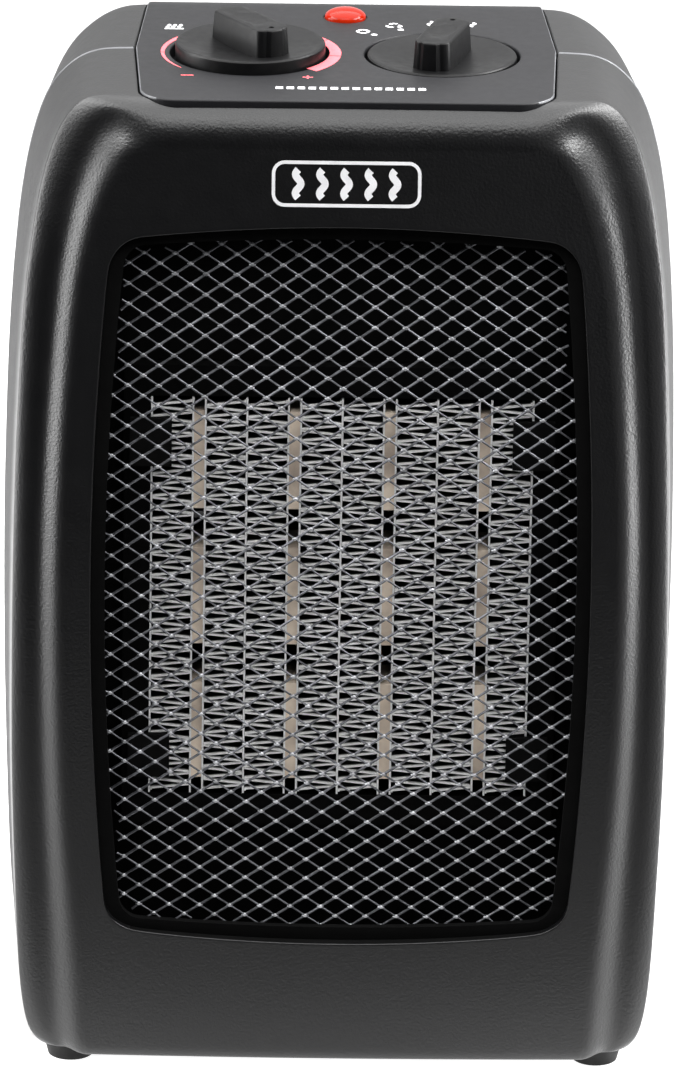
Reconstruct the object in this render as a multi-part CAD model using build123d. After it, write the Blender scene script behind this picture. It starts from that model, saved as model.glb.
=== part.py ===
from build123d import *

# Ceramic space heater: a free-standing black housing in two shells with a control panel let into
# its top, an expanded-metal grille in front, and a ceramic heating core, duct, fan and motor inside.
# Frame: millimetres, +Z up, front towards -Y, origin on the floor under the middle of the heater.

import math
import os

# ---- housing ---------------------------------------------------------------------------------
HALF_WIDTH = 82.0  # widest half-width, on the joint between the two shells
FRONT_Y = -65.0  # foremost line of the front face
REAR_Y = 63.5  # rear face
BASE_Z = 6.0  # underside of the shells
TOP_Z = 240.6  # top of the shells
SPLIT_Y = 2.0  # joint between front and rear shell
SEAM = 0.1  # each shell stops this far short of the joint
WALL = 2.5
LEAN_START_Z = 40.0  # the front face is upright below this and curves back above it
FACE_RADIUS = 1040.0  # radius of that curve, seen from the side
NOSE_RADIUS = 6.0  # front face into the top
BACK_RADIUS = 27.0  # top into the rear face
STEP = 4.0  # how far the raised front stands out of the border around it
SQUEEZE_FRONT = 0.95  # the sides draw in towards the front and the rear
SQUEEZE_REAR = 0.92
MID_Z = (BASE_Z + TOP_Z) / 2
HALF_HEIGHT = (TOP_Z - BASE_Z) / 2
# right side of the housing seen from the front, from the flat top round to the flat base
SIDE_POINTS = [
    (58.0, TOP_Z),
    (62.6, 239.2),
    (66.6, 236.2),
    (71.4, 231.0),
    (76.2, 215.0),
    (80.3, 180.0),
    (HALF_WIDTH, 111.0),
    (80.8, 45.0),
    (79.4, 18.0),
    (77.2, 10.5),
    (74.6, 7.6),
    (71.0, BASE_Z),
]

# ---- raised front and grille opening ------------------------------------------------------------
RIDGE_MID = 70.9  # half-width of the raised front at its widest
RIDGE_MID_Z = 120.0
RIDGE_RADIUS = 700.0  # radius of its bowed sides
RIDGE_TOP_HALF = 50.0
SHOULDER_Z = 222.0  # above this its sides hook inwards
SHOULDER_TURN = (-0.15, 1)
OPENING_HALF = 59.6  # half-width of the grille opening at its widest
OPENING_TOP_Z = 212.5
OPENING_BOTTOM_Z = 36.0
OPENING_SIDE_RADIUS = 820.0
OPENING_END_BOW = 2.2  # rise of the arched top and bottom edges
OPENING_CORNER = 9.0
FRAME_LAND = 3.4  # width of the retaining frame seen inside the opening
MESH_DEPTH = 4.6  # grille sheet behind the front face
MESH_THICK = 1.0
CELL_W = 7.3  # expanded metal: pitch of its diamonds across and up
CELL_H = 4.87
HOLE_MARGIN_W = 0.81  # the solid strand takes this much off each half-diagonal of a diamond
HOLE_MARGIN_H = 0.56
SHEET_BORDER = 0.4  # plain edge left round the holes

# ---- control panel, knobs and lamp -----------------------------------------------------------
PANEL_HALF = 50.5  # half-width at the joint between the shells, where the panel is widest
PANEL_HALF_FRONT = 48.6
PANEL_HALF_REAR = 47.4
PANEL_FRONT_Y = -42.0
PANEL_REAR_Y = 54.0
PANEL_CORNER = 9.0
PANEL_PROUD = 0.4
PANEL_THICK = 2.6
PANEL_GAP = 0.35
PANEL_Z = TOP_Z + PANEL_PROUD
LEDGE = 3.0  # ledge under the panel's edge
LEDGE_LOW_Z = 235.0
LEDGE_REAR_Y = 34.0
KNOB_X = 23.0
KNOB_Y = -2.0
KNOB_RADIUS = 18.0
WELL_DEPTH = 3.6
WELL_FLOOR = 2.0
WELL_RADIUS = {"thermostat": 19.2, "mode": 18.7}
KNOB_RIM = {"thermostat": 2.8, "mode": 0.1}  # rim of each knob above the panel
KNOB_DISH = 1.5
GRIP_TOP = {"thermostat": 8.6, "mode": 6.1}  # top of each finger bar above the panel
GRIP_LENGTH = 24.0
GRIP_WIDTH = 8.0
GRIP_ANGLE = {"thermostat": -58.0, "mode": 74.0}  # where the pointer end of each bar lies at rest
KNOB_FLOAT = 0.4  # knob clear of the floor of its well
SPINDLE_RADIUS = 3.0
SPINDLE_PLAY = 0.08
SPINDLE_FLAT = 2.1
BUSH_RADIUS = 4.3
BUSH_HOLE = 4.5
LENS_Y = 29.0
LENS_RADIUS = 5.0
LENS_HEIGHT = 2.3
LENS_STEM = 4.0

# ---- heating core ----------------------------------------------------------------------------
CORE_FRONT_Y = -46.0
CORE_REAR_Y = -31.0
CORE_BOTTOM_Z = 67.5
CORE_TOP_Z = 168.5
CORE_HALF = 45.6
COLUMN_X = [-34.05, -11.35, 11.35, 34.05]  # ceramic columns
STONE_W = 2.5
STONE_H = 24.5
STONE_GAP = 10.0
STONES_PER_COLUMN = 3
PLATE = 0.45  # aluminium plates between columns and fins
FIN_STEP = 2.88  # pitch of the folded fin strip
FIN_THICK = 0.4
FIN_FLAT = 0.45
FIN_GAP = 0.05
FIN_MARGIN = 0.6  # plates reach past the strip by about this much at both ends
CLIP_SPANS = [(72.0, 83.0), (151.5, 163.5)]  # heights that the corner clips cover

# ---- duct, fan and motor ---------------------------------------------------------------------
CORE_MID_Z = (CORE_BOTTOM_Z + CORE_TOP_Z) / 2
BAFFLE_HALF = 57.0
BAFFLE_BOTTOM_Z = 31.0
BAFFLE_TOP_Z = 214.0
DUCT_HALF = 52.0
DUCT_REAR_Y = 6.0
THROAT_RADIUS = 46.0
FAN_RADIUS = 44.5
FAN_HUB_RADIUS = 15.0
FAN_FRONT_Y = 9.0
FAN_REAR_Y = 21.0
FAN_BLADES = 7
BLADE_THICK = 1.6
SHAFT_RADIUS = 2.0
SHAFT_PLAY = 0.06
MOTOR_FRONT_Y = 30.0
MOTOR_REAR_Y = 46.0
MOTOR_BORE = 12.0
MOTOR_HALF = 28.0
MOTOR_BELOW = 54.0  # laminations below and above the shaft
MOTOR_ABOVE = 22.0
MOTOR_LEG = 10.0  # width of the loop that carries the coil
MOTOR_SCREW_X = 22.0
MOTOR_SCREW_RADIUS = 1.6
COIL_HALF = 15.0
COIL_BUILD = 2.5  # winding in front of and behind the laminations
COIL_SIDE = 6.0  # winding above and below the leg it is wound on
ARM_FRONT_Y = 24.0  # arms and hub ring that carry the motor
ARM_REAR_Y = 27.0
STRAP_THICK = 1.5

# ---- base ------------------------------------------------------------------------------------
FOOT_X = 64.0
FOOT_Y = 48.0
FOOT_TOP_RADIUS = 7.0
FOOT_BOTTOM_RADIUS = 5.5
FOOT_STEM_RADIUS = 2.95
FOOT_HOLE_RADIUS = 3.0
PLUNGER_Y = 24.0
PLUNGER_RADIUS = 3.5
PLUNGER_PLAY = 0.1
PLUNGER_TOP_Z = 16.0
INLET_X = 36.0
INLET_Z = 24.0
INLET_BORE = 3.7
INLET_NECK = 6.9
INLET_FLANGE = 8.5
INLET_FRONT_Y = 52.0
SCREW_SPOTS = [(x, z) for x in (-61.5, 61.5) for z in (23.0, 221.0)]
POST_RADIUS = 4.5  # posts that the screws join
POST_INSET = 1.0  # posts end inside the wall
SCREW_RADIUS = 1.45
SCREW_TIP_Y = -12.0
SCREW_SEAT_Y = 22.0  # floor of the deep holes the screws sit in
SCREW_HEAD_RADIUS = 3.0
SCREW_HEAD_LENGTH = 2.45

# ---- rear wall -------------------------------------------------------------------------------
LOUVRE_COLUMNS = (-35.0, 0.0, 35.0)
LOUVRE_HALF = 15.5
LOUVRE_ROWS = 21
LOUVRE_START_Z = 70.0
LOUVRE_STEP = 5.2
LOUVRE_THICK = 1.9  # measured square to the slot
LOUVRE_TILT = 30.0  # the slots rise towards the outside
LOUVRE_LENGTH = 14.0
RECESS_HALF = 33.0  # finger recess under the top edge
RECESS_DEPTH_Y = 47.5
RECESS_LOW_Z = 195.5
RECESS_HIGH_Z = 213.5
FAR = 120.0  # beyond the heater in any direction


# ---- shared outlines -------------------------------------------------------------------------
def across(y):
    """Plane across the heater at depth y: local x is width, local y is height."""
    return Plane(origin=(0, y, 0), x_dir=(1, 0, 0), z_dir=(0, -1, 0))


def block(low, high):
    """Box between two opposite corners."""
    size = [b - a for a, b in zip(low, high)]
    middle = [(a + b) / 2 for a, b in zip(low, high)]
    return Pos(*middle) * Box(*size)


def post(x, y, bottom, top, radius):
    """Upright round bar."""
    return Pos(x, y, (bottom + top) / 2) * Cylinder(radius, top - bottom)


def bar(x, z, front, rear, radius):
    """Round bar from front to rear."""
    return Pos(x, (front + rear) / 2, z) * Rot(X=90) * Cylinder(radius, rear - front)


def slice_y(shape, front, rear):
    """The part of a shape between two depths."""
    return shape & block((-FAR, front, -FAR), (FAR, rear, 3 * FAR))


def housing_outline(y, squeeze, inset):
    """Outline of the housing seen from the front, drawn in by the squeeze."""
    wide = squeeze * (HALF_WIDTH - inset) / HALF_WIDTH
    tall = (HALF_HEIGHT - inset) / HALF_HEIGHT
    right = [(x * wide, MID_Z + (z - MID_Z) * tall) for x, z in SIDE_POINTS]
    left = [(-x, z) for x, z in reversed(right)]
    edges = [
        Spline(*right),
        Line(right[-1], left[0]),
        Spline(*left),
        Line(left[-1], right[0]),
    ]
    return across(y) * make_face(edges)


def face_point(z, depth):
    """Point of the front face's side profile at height z, depth behind the surface."""
    radius = FACE_RADIUS - depth
    lean = math.asin((z - LEAN_START_Z) / radius)
    return (FRONT_Y + depth + radius * (1 - math.cos(lean)), z)


def side_profile(inset, drop):
    """Side view of the housing; drop sets the front face back."""
    depth = inset + drop
    top = TOP_Z - inset
    bottom = BASE_Z + inset
    rear = REAR_Y - inset
    foot = (FRONT_Y + depth, bottom)
    start = (FRONT_Y + depth, LEAN_START_Z)
    crown = face_point(top, depth)
    edges = [
        Line(foot, start),
        ThreePointArc(start, face_point(MID_Z, depth), crown),
        Line(crown, (rear, top)),
        Line((rear, top), (rear, bottom)),
        Line((rear, bottom), foot),
    ]
    face = make_face(edges)
    corners = face.vertices().filter_by_position(Axis.Y, top - 0.01, top + 0.01).sort_by(Axis.X)
    face = fillet(corners[0], max(NOSE_RADIUS - inset, 2.0))
    corners = face.vertices().filter_by_position(Axis.Y, top - 0.01, top + 0.01).sort_by(Axis.X)
    return Plane.YZ * fillet(corners[-1], BACK_RADIUS - inset)


def side_solid(inset, drop=0.0):
    """The side view given width."""
    return extrude(side_profile(inset, drop), amount=HALF_WIDTH + 5, both=True)


def face_slab(near, far):
    """Layer that follows the front face, between two depths behind it."""
    low, mid, high = BASE_Z + 20, MID_Z, TOP_Z - 15
    edges = [
        ThreePointArc(face_point(low, near), face_point(mid, near), face_point(high, near)),
        Line(face_point(high, near), face_point(high, far)),
        ThreePointArc(face_point(high, far), face_point(mid, far), face_point(low, far)),
        Line(face_point(low, far), face_point(low, near)),
    ]
    return extrude(Plane.YZ * make_face(edges), amount=HALF_WIDTH, both=True)


def bowed_half(z, widest, radius, mid_z):
    """Half-width at height z of an outline whose sides bow outwards."""
    return widest - radius + math.sqrt(radius**2 - (z - mid_z) ** 2)


def raised_outline(inset):
    """Outline of the raised front, with hooked-in top corners."""
    low = (bowed_half(BASE_Z, RIDGE_MID, RIDGE_RADIUS, RIDGE_MID_Z) - inset, BASE_Z - 1)
    mid = (RIDGE_MID - inset, RIDGE_MID_Z)
    high = (bowed_half(SHOULDER_Z, RIDGE_MID, RIDGE_RADIUS, RIDGE_MID_Z) - inset, SHOULDER_Z)
    top = (RIDGE_TOP_HALF - inset, TOP_Z + 1)
    mirror_x = [(-x, z) for x, z in (low, mid, high, top)]
    edges = [
        ThreePointArc(low, mid, high),
        TangentArc(high, top, tangent=SHOULDER_TURN),
        Line(top, mirror_x[3]),
        TangentArc(mirror_x[2], mirror_x[3], tangent=(-SHOULDER_TURN[0], 1)),
        ThreePointArc(*mirror_x[2::-1]),
        Line(mirror_x[0], low),
    ]
    return across(0) * make_face(edges)


def opening_outline(inset=0.0):
    """Outline of the grille opening, inset all round."""
    bottom = OPENING_BOTTOM_Z + inset
    top = OPENING_TOP_Z - inset
    mid_z = (bottom + top) / 2
    half_low = bowed_half(bottom, OPENING_HALF, OPENING_SIDE_RADIUS, mid_z) - inset
    half_high = bowed_half(top, OPENING_HALF, OPENING_SIDE_RADIUS, mid_z) - inset
    low = (half_low, bottom + OPENING_END_BOW)
    high = (half_high, top - OPENING_END_BOW)
    edges = [
        ThreePointArc(low, (OPENING_HALF - inset, mid_z), high),
        ThreePointArc(high, (0, top), (-high[0], high[1])),
        ThreePointArc((-high[0], high[1]), (inset - OPENING_HALF, mid_z), (-low[0], low[1])),
        ThreePointArc((-low[0], low[1]), (0, bottom), low),
    ]
    face = make_face(edges)
    return across(0) * fillet(face.vertices(), max(OPENING_CORNER - inset, 2.0))


def front_prism(outline):
    """Outline seen from the front, carried through the whole front half."""
    return extrude(outline, amount=FAR)


def panel_prism(grow=0.0):
    """Upright prism on the control panel's plan, through the top of the housing."""
    right = [
        (PANEL_HALF_FRONT + grow, PANEL_FRONT_Y - grow),
        (PANEL_HALF + grow, SPLIT_Y),
        (PANEL_HALF_REAR + grow, PANEL_REAR_Y + grow),
    ]
    left = [(-x, y) for x, y in reversed(right)]
    plan = make_face(Polyline(*right, *left, close=True))
    corners = [v for v in plan.vertices() if abs(v.Y - SPLIT_Y) > 1]
    plan = fillet(corners, PANEL_CORNER + grow)
    return extrude(Pos(0, 0, TOP_Z - 25) * plan, amount=40)


# ---- housing ---------------------------------------------------------------------------------
def housing_form(inset):
    """Solid housing: squeezed outline, leaning face, and the raised front."""
    sections = [
        housing_outline(FRONT_Y - 3, SQUEEZE_FRONT, inset),
        housing_outline(SPLIT_Y, 1.0, inset),
        housing_outline(REAR_Y + 3, SQUEEZE_REAR, inset),
    ]
    body = loft(sections, ruled=True) & side_solid(inset, STEP)
    raised = front_prism(raised_outline(inset)) & side_solid(inset)
    return body + raised


def screw_posts(front, rear, radius):
    """Bars on the four screw centres."""
    return [bar(x, z, front, rear, radius) for x, z in SCREW_SPOTS]


def make_housing():
    """Both shells, hollow, with the opening for the panel cut through their tops."""
    hollow = housing_form(0.0) - housing_form(WALL)
    ring_plan = panel_prism(2.0) - panel_prism(-LEDGE)
    ledge = ring_plan & block((-FAR, -FAR, LEDGE_LOW_Z), (FAR, LEDGE_REAR_Y, TOP_Z - WALL + 0.2))
    hollow += ledge & housing_form(0.5)
    return hollow - (panel_prism(PANEL_GAP) - ledge)


def make_front_shell(housing):
    shell = slice_y(housing, -FAR, SPLIT_Y - SEAM)
    shell -= front_prism(opening_outline())
    for piece in screw_posts(FRONT_Y, SPLIT_Y - SEAM, POST_RADIUS):
        shell += piece & housing_form(POST_INSET)
    for hole in screw_posts(SCREW_TIP_Y - 2, FAR, SCREW_RADIUS + 0.05):
        shell -= hole
    for x in (-FOOT_X, FOOT_X):
        shell -= post(x, -FOOT_Y, 0, BASE_Z + 8, FOOT_HOLE_RADIUS)
    return shell


def recess_block(grow, rear):
    """The finger recess, grown on every side, back to a given depth."""
    low = (-RECESS_HALF - grow, RECESS_DEPTH_Y - grow, RECESS_LOW_Z - grow)
    return block(low, (RECESS_HALF + grow, rear, RECESS_HIGH_Z + grow))


def louvre_slots():
    """Three columns of tilted air slots through the rear wall."""
    slot = Rot(X=LOUVRE_TILT) * Box(2 * LOUVRE_HALF, LOUVRE_LENGTH, LOUVRE_THICK)
    slots = []
    for column in LOUVRE_COLUMNS:
        for row in range(LOUVRE_ROWS):
            z = LOUVRE_START_Z + LOUVRE_STEP * row
            slots.append(Pos(column, REAR_Y - WALL / 2, z) * slot)
    return slots


def make_rear_shell(housing):
    shell = slice_y(housing, SPLIT_Y + SEAM, FAR)
    shell += recess_block(WALL, REAR_Y - 1)
    for piece in screw_posts(SPLIT_Y + SEAM, REAR_Y, POST_RADIUS):
        shell += piece & housing_form(POST_INSET)
    shell -= recess_block(0, FAR)
    for slot in louvre_slots():
        shell -= slot
    clearance = screw_posts(0, FAR, SCREW_RADIUS + 0.45)
    for hole in clearance + screw_posts(SCREW_SEAT_Y, FAR, SCREW_HEAD_RADIUS + 0.3):
        shell -= hole
    for x in (-FOOT_X, FOOT_X):
        shell -= post(x, FOOT_Y, 0, BASE_Z + 8, FOOT_HOLE_RADIUS)
    shell -= post(0, PLUNGER_Y, 0, BASE_Z + 8, PLUNGER_RADIUS + 0.6)
    shell -= bar(INLET_X, INLET_Z, 40, FAR, INLET_NECK + 0.1)
    return shell


# ---- grille ----------------------------------------------------------------------------------
def inside_opening(x, z, inset):
    """Whether a point lies inside the opening outline, inset all round."""
    mid_z = (OPENING_BOTTOM_Z + OPENING_TOP_Z) / 2
    side = bowed_half(z, OPENING_HALF, OPENING_SIDE_RADIUS, mid_z) - inset - abs(x)
    rise = (OPENING_TOP_Z - OPENING_BOTTOM_Z) / 2 - OPENING_END_BOW - inset - abs(z - mid_z)
    if side < 0 or rise < 0:
        return False
    if side < OPENING_CORNER and rise < OPENING_CORNER:
        return math.hypot(OPENING_CORNER - side, OPENING_CORNER - rise) < OPENING_CORNER
    return True


def diamond_holes():
    """Outlines of the holes of the expanded metal that fit inside its border."""
    half_w = CELL_W / 2 - HOLE_MARGIN_W
    half_h = CELL_H / 2 - HOLE_MARGIN_H
    mid_z = (OPENING_BOTTOM_Z + OPENING_TOP_Z) / 2
    columns = math.ceil(OPENING_HALF / CELL_W)
    rows = math.ceil((OPENING_TOP_Z - OPENING_BOTTOM_Z) / CELL_H)
    wires = []
    for row in range(-rows, rows + 1):
        shift = CELL_W / 2 if row % 2 else 0.0
        z = mid_z + row * CELL_H / 2
        for column in range(-columns, columns + 1):
            x = column * CELL_W + shift
            corners = [(x - half_w, z), (x, z + half_h), (x + half_w, z), (x, z - half_h)]
            if all(inside_opening(u, v, SHEET_BORDER) for u, v in corners):
                wires.append(across(0) * Polyline(*corners, close=True))
    return wires


def make_grille_frame():
    ring = front_prism(opening_outline(-1.8)) - front_prism(opening_outline(FRAME_LAND))
    return ring & face_slab(WALL + 0.1, MESH_DEPTH - 0.05)


def make_front_grille():
    pattern = opening_outline(-1.0).face().make_holes([Wire(w.edges()) for w in diamond_holes()])
    return extrude(pattern, amount=FAR, dir=(0, -1, 0)) & face_slab(MESH_DEPTH, MESH_DEPTH + MESH_THICK)


# ---- control panel, knobs, switches and lamp ---------------------------------------------------
KNOB_SPOT = {"thermostat": (-KNOB_X, KNOB_Y), "mode": (KNOB_X, KNOB_Y)}
WELL_Z = PANEL_Z - WELL_DEPTH  # floor of the wells
CUP_Z = WELL_Z - WELL_FLOOR  # underside of the wells
SPINDLE_BOTTOM_Z = CUP_Z - 12.0


def make_control_panel():
    skin = side_solid(-PANEL_PROUD) - side_solid(PANEL_THICK - PANEL_PROUD)
    panel = skin & panel_prism()
    for name, (x, y) in KNOB_SPOT.items():
        panel += post(x, y, CUP_Z, PANEL_Z - 1.0, WELL_RADIUS[name] + 2.0)
        panel -= post(x, y, WELL_Z, PANEL_Z + 5.0, WELL_RADIUS[name])
        panel -= post(x, y, CUP_Z - 1.0, WELL_Z + 1.0, BUSH_HOLE)
    return panel - post(0, LENS_Y, PANEL_Z - 10.0, PANEL_Z + 5.0, LENS_STEM + 0.05)


def flatted_bar(bottom, top):
    """Round bar with one flat, the drive between spindle and knob."""
    return post(0, 0, bottom, top, SPINDLE_RADIUS) - block((SPINDLE_FLAT, -5, bottom - 1), (5, 5, top + 1))


def on_knob_spot(name, shape):
    """Turns a shape to the knob's rest angle and puts it on the knob's axis."""
    return Pos(*KNOB_SPOT[name], 0) * Rot(Z=GRIP_ANGLE[name]) * shape


def make_knob(name):
    low = WELL_Z + KNOB_FLOAT
    rim = PANEL_Z + KNOB_RIM[name]
    top = PANEL_Z + GRIP_TOP[name]
    dish_radius = KNOB_RADIUS - 1.5
    ball = (dish_radius**2 + KNOB_DISH**2) / (2 * KNOB_DISH)
    disc = post(0, 0, low, rim, KNOB_RADIUS)
    disc = fillet(disc.edges().sort_by(Axis.Z)[-1], 0.5)
    disc -= Pos(0, 0, rim - KNOB_DISH + ball) * Sphere(ball)
    grip = Pos(0, 0, low + 0.5) * extrude(
        RectangleRounded(GRIP_LENGTH, GRIP_WIDTH, 2.6), amount=top - low - 0.5, taper=3
    )
    grip = fillet(grip.faces().sort_by(Axis.Z)[-1].edges(), 0.8)
    pointer = post(GRIP_LENGTH / 2 - 3.0, 0, top - 0.3, top + 1, 0.7)
    return on_knob_spot(name, disc + grip - pointer - flatted_bar(low - 1, top - 2.0))


def make_spindle(name):
    low = WELL_Z + KNOB_FLOAT
    drive = flatted_bar(low, PANEL_Z + GRIP_TOP[name] - 2.3)
    return on_knob_spot(name, post(0, 0, SPINDLE_BOTTOM_Z, low, SPINDLE_RADIUS) + drive)


def make_switch_body(name, case, tabs):
    """Case under the panel with a bushing through it, a bored hole for the spindle, and tabs."""
    x, y = KNOB_SPOT[name]
    bottom = case.bounding_box().min.Z
    body = Pos(x, y, 0) * case + post(x, y, CUP_Z - 1, WELL_Z - 0.1, BUSH_RADIUS)
    body -= post(x, y, SPINDLE_BOTTOM_Z - 0.3, PANEL_Z, SPINDLE_RADIUS + SPINDLE_PLAY)
    for tab_x, tab_y in tabs:
        low = (x + tab_x - 3.15, y + tab_y - 0.4, bottom - 8.0)
        body += block(low, (x + tab_x + 3.15, y + tab_y + 0.4, bottom + 1.0))
    return body


def make_thermostat_body():
    case = post(0, 0, CUP_Z - 15.0, CUP_Z, 13.0)
    return make_switch_body("thermostat", case, [(-6, 0), (6, 0)])


def make_mode_switch_body():
    case = block((-13, -13, CUP_Z - 18.0), (13, 13, CUP_Z))
    tabs = [(u, v) for u in (-7, 7) for v in (-8, 8)]
    return make_switch_body("mode", case, tabs)


def make_indicator_lens():
    ball = (LENS_RADIUS**2 + LENS_HEIGHT**2) / (2 * LENS_HEIGHT)
    dome = Pos(0, LENS_Y, PANEL_Z + LENS_HEIGHT - ball) * Sphere(ball)
    dome &= post(0, LENS_Y, PANEL_Z, PANEL_Z + LENS_HEIGHT + 1, LENS_RADIUS)
    stem = post(0, LENS_Y, PANEL_Z - 9.0, PANEL_Z, LENS_STEM)
    return dome + stem - post(0, LENS_Y, PANEL_Z - 10.0, PANEL_Z - 0.5, LENS_STEM - 1.2)


def make_indicator_lamp():
    glass = post(0, LENS_Y, PANEL_Z - 13.0, PANEL_Z - 3.5, 2.4)
    return glass + Pos(0, LENS_Y, PANEL_Z - 3.5) * Sphere(2.4)


# ---- heating core ----------------------------------------------------------------------------
def column_faces():
    """Left and right face of every aluminium-clad ceramic column."""
    reach = STONE_W / 2 + PLATE
    return [(x - reach, x + reach) for x in COLUMN_X]


def spreader_middles():
    """Plates with fins on both sides, and the two outside plates."""
    between = [(a + b) / 2 for a, b in zip(COLUMN_X, COLUMN_X[1:])]
    return [PLATE / 2 - CORE_HALF, *between, CORE_HALF - PLATE / 2]


def fin_spans():
    """Left and right limit of each fin bank, from left to right."""
    spreaders = spreader_middles()
    spans = []
    for index, (left, right) in enumerate(column_faces()):
        spans.append((spreaders[index] + PLATE / 2, left))
        spans.append((right, spreaders[index + 1] - PLATE / 2))
    return spans


def ribbon(points, thick):
    """Outline of a strip of even thickness along a folded line."""
    points = [Vector(*p) for p in points]
    runs = [(b - a).normalized() for a, b in zip(points, points[1:])]
    one_side, other_side = [], []
    for here, before, after in zip(points, [runs[0], *runs], [*runs, runs[-1]]):
        normal = Vector(-before.Y, before.X)
        mitre = (normal + Vector(-after.Y, after.X)).normalized()
        reach = mitre * (thick / 2 / mitre.dot(normal))
        one_side.append(here + reach)
        other_side.append(here - reach)
    return make_face(Polyline(*one_side, *reversed(other_side), close=True))


def core_extrude(outline):
    """Gives a front-view outline the depth of the core."""
    return extrude(across(CORE_REAR_Y) * outline, amount=CORE_REAR_Y - CORE_FRONT_Y)


def core_plate(x):
    """Upright aluminium plate through the core, centred on x."""
    low = (x - PLATE / 2, CORE_FRONT_Y, CORE_BOTTOM_Z)
    return block(low, (x + PLATE / 2, CORE_REAR_Y, CORE_TOP_Z))


def make_fin_bank(span):
    """Folded strip between two plates, touching each with a short flat at every fold."""
    sides = (span[0] + FIN_GAP + FIN_THICK / 2, span[1] - FIN_GAP - FIN_THICK / 2)
    rise = FIN_STEP / 2
    folds = int((CORE_TOP_Z - CORE_BOTTOM_Z - 2 * FIN_MARGIN) / rise) + 1
    start = CORE_MID_Z - ((folds - 1) * rise + FIN_FLAT) / 2
    points = []
    for fold in range(folds):
        z = start + fold * rise
        points += [(sides[fold % 2], z), (sides[fold % 2], z + FIN_FLAT)]
    return core_extrude(ribbon(points, FIN_THICK))


def make_ceramic_column(x):
    """The stones of one column, one above another."""
    stack = STONES_PER_COLUMN * STONE_H + (STONES_PER_COLUMN - 1) * STONE_GAP
    start = CORE_MID_Z - stack / 2
    stones = []
    for index in range(STONES_PER_COLUMN):
        low = start + index * (STONE_H + STONE_GAP)
        corner = (x - STONE_W / 2, CORE_FRONT_Y + 0.8, low)
        stones.append(block(corner, (x + STONE_W / 2, CORE_REAR_Y - 0.8, low + STONE_H)))
    return Compound(stones)


def make_heater_terminals():
    blades = []
    for x in spreader_middles()[1:-1]:
        blades.append(block((x - 0.4, -38.0, CORE_TOP_Z), (x + 0.4, -31.7, CORE_TOP_Z + 14.0)))
    return Compound(blades)


def make_heater_frame():
    outside = block((-DUCT_HALF, CORE_FRONT_Y, CORE_BOTTOM_Z - 8), (DUCT_HALF, -29.9, CORE_TOP_Z + 8))
    half = CORE_HALF + 0.3
    frame = outside - block((-half, -FAR, CORE_BOTTOM_Z - 0.3), (half, FAR, CORE_TOP_Z + 0.3))
    for x in spreader_middles()[1:-1]:
        frame -= block((x - 1.0, -39.0, CORE_TOP_Z), (x + 1.0, -31.0, CORE_TOP_Z + 10))
    return frame


def make_corner_clips():
    clips = []
    for low_z, high_z in CLIP_SPANS:
        for x in (-CORE_HALF, CORE_HALF):
            low = (x - 5.0, CORE_FRONT_Y - 1.6, low_z)
            clips.append(block(low, (x + 5.0, CORE_FRONT_Y - 0.05, high_z)))
    return Compound(clips)


def make_baffle():
    sheet = block((-BAFFLE_HALF, -42.5, BAFFLE_BOTTOM_Z), (BAFFLE_HALF, -40.5, BAFFLE_TOP_Z))
    half = DUCT_HALF + 0.2
    return sheet - block((-half, -FAR, CORE_BOTTOM_Z - 8.2), (half, FAR, CORE_TOP_Z + 8.2))


def make_thermal_cutoff():
    return post(-38.0, -32.0, CORE_TOP_Z + 8.05, CORE_TOP_Z + 16.0, 7.0)


# ---- duct, fan and motor -----------------------------------------------------------------------
def ring(front, rear, outer, inner):
    """Ring about the fan's axis."""
    return bar(0, CORE_MID_Z, front, rear, outer) - bar(0, CORE_MID_Z, front - 1, rear + 1, inner)


def make_fan_duct():
    """Box behind the core, closing to a round throat and collar, with four arms for the motor."""
    low_z, high_z = CORE_BOTTOM_Z - 4, CORE_TOP_Z + 4
    duct = block((-DUCT_HALF, -29.8, low_z), (DUCT_HALF, DUCT_REAR_Y, high_z))
    inner = block((2 - DUCT_HALF, -40, low_z + 2), (DUCT_HALF - 2, DUCT_REAR_Y - 2, high_z - 2))
    duct = duct - inner - bar(0, CORE_MID_Z, -40, 40, THROAT_RADIUS)
    duct += ring(DUCT_REAR_Y - 1, ARM_REAR_Y, THROAT_RADIUS + 2, THROAT_RADIUS)
    duct += ring(ARM_FRONT_Y, ARM_REAR_Y, 26.0, 21.0)
    for angle in (45, 135, 225, 315):
        arm = Rot(Y=angle) * block((22.0, ARM_FRONT_Y, -2.5), (THROAT_RADIUS + 1, ARM_REAR_Y, 2.5))
        duct += Pos(0, 0, CORE_MID_Z) * arm
    return duct


def fan_blade():
    """One twisted blade, pointing along +X."""
    middle_y = (FAN_FRONT_Y + FAN_REAR_Y) / 2
    sections = []
    for radius, chord, pitch in ((FAN_HUB_RADIUS - 1.5, 15.0, 48.0), (FAN_RADIUS + 1.0, 34.0, 71.0)):
        turn = math.radians(pitch)
        plane = Plane((radius, middle_y, 0), x_dir=(0, math.cos(turn), math.sin(turn)), z_dir=(1, 0, 0))
        sections.append(plane * Rectangle(chord, BLADE_THICK))
    return loft(sections, ruled=True)


def make_fan_rotor():
    blade = fan_blade()
    reach = Pos(0, 15, 0) * Rot(X=90) * Cylinder(FAN_RADIUS, 40)
    rotor = Pos(0, 15, 0) * Rot(X=90) * Cylinder(FAN_HUB_RADIUS, FAN_REAR_Y - FAN_FRONT_Y)
    for index in range(FAN_BLADES):
        rotor += Rot(Y=index * 360 / FAN_BLADES) * blade & reach
    rotor = Pos(0, 0, CORE_MID_Z) * rotor
    return rotor - bar(0, CORE_MID_Z, 0, 40, SHAFT_RADIUS)


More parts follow.
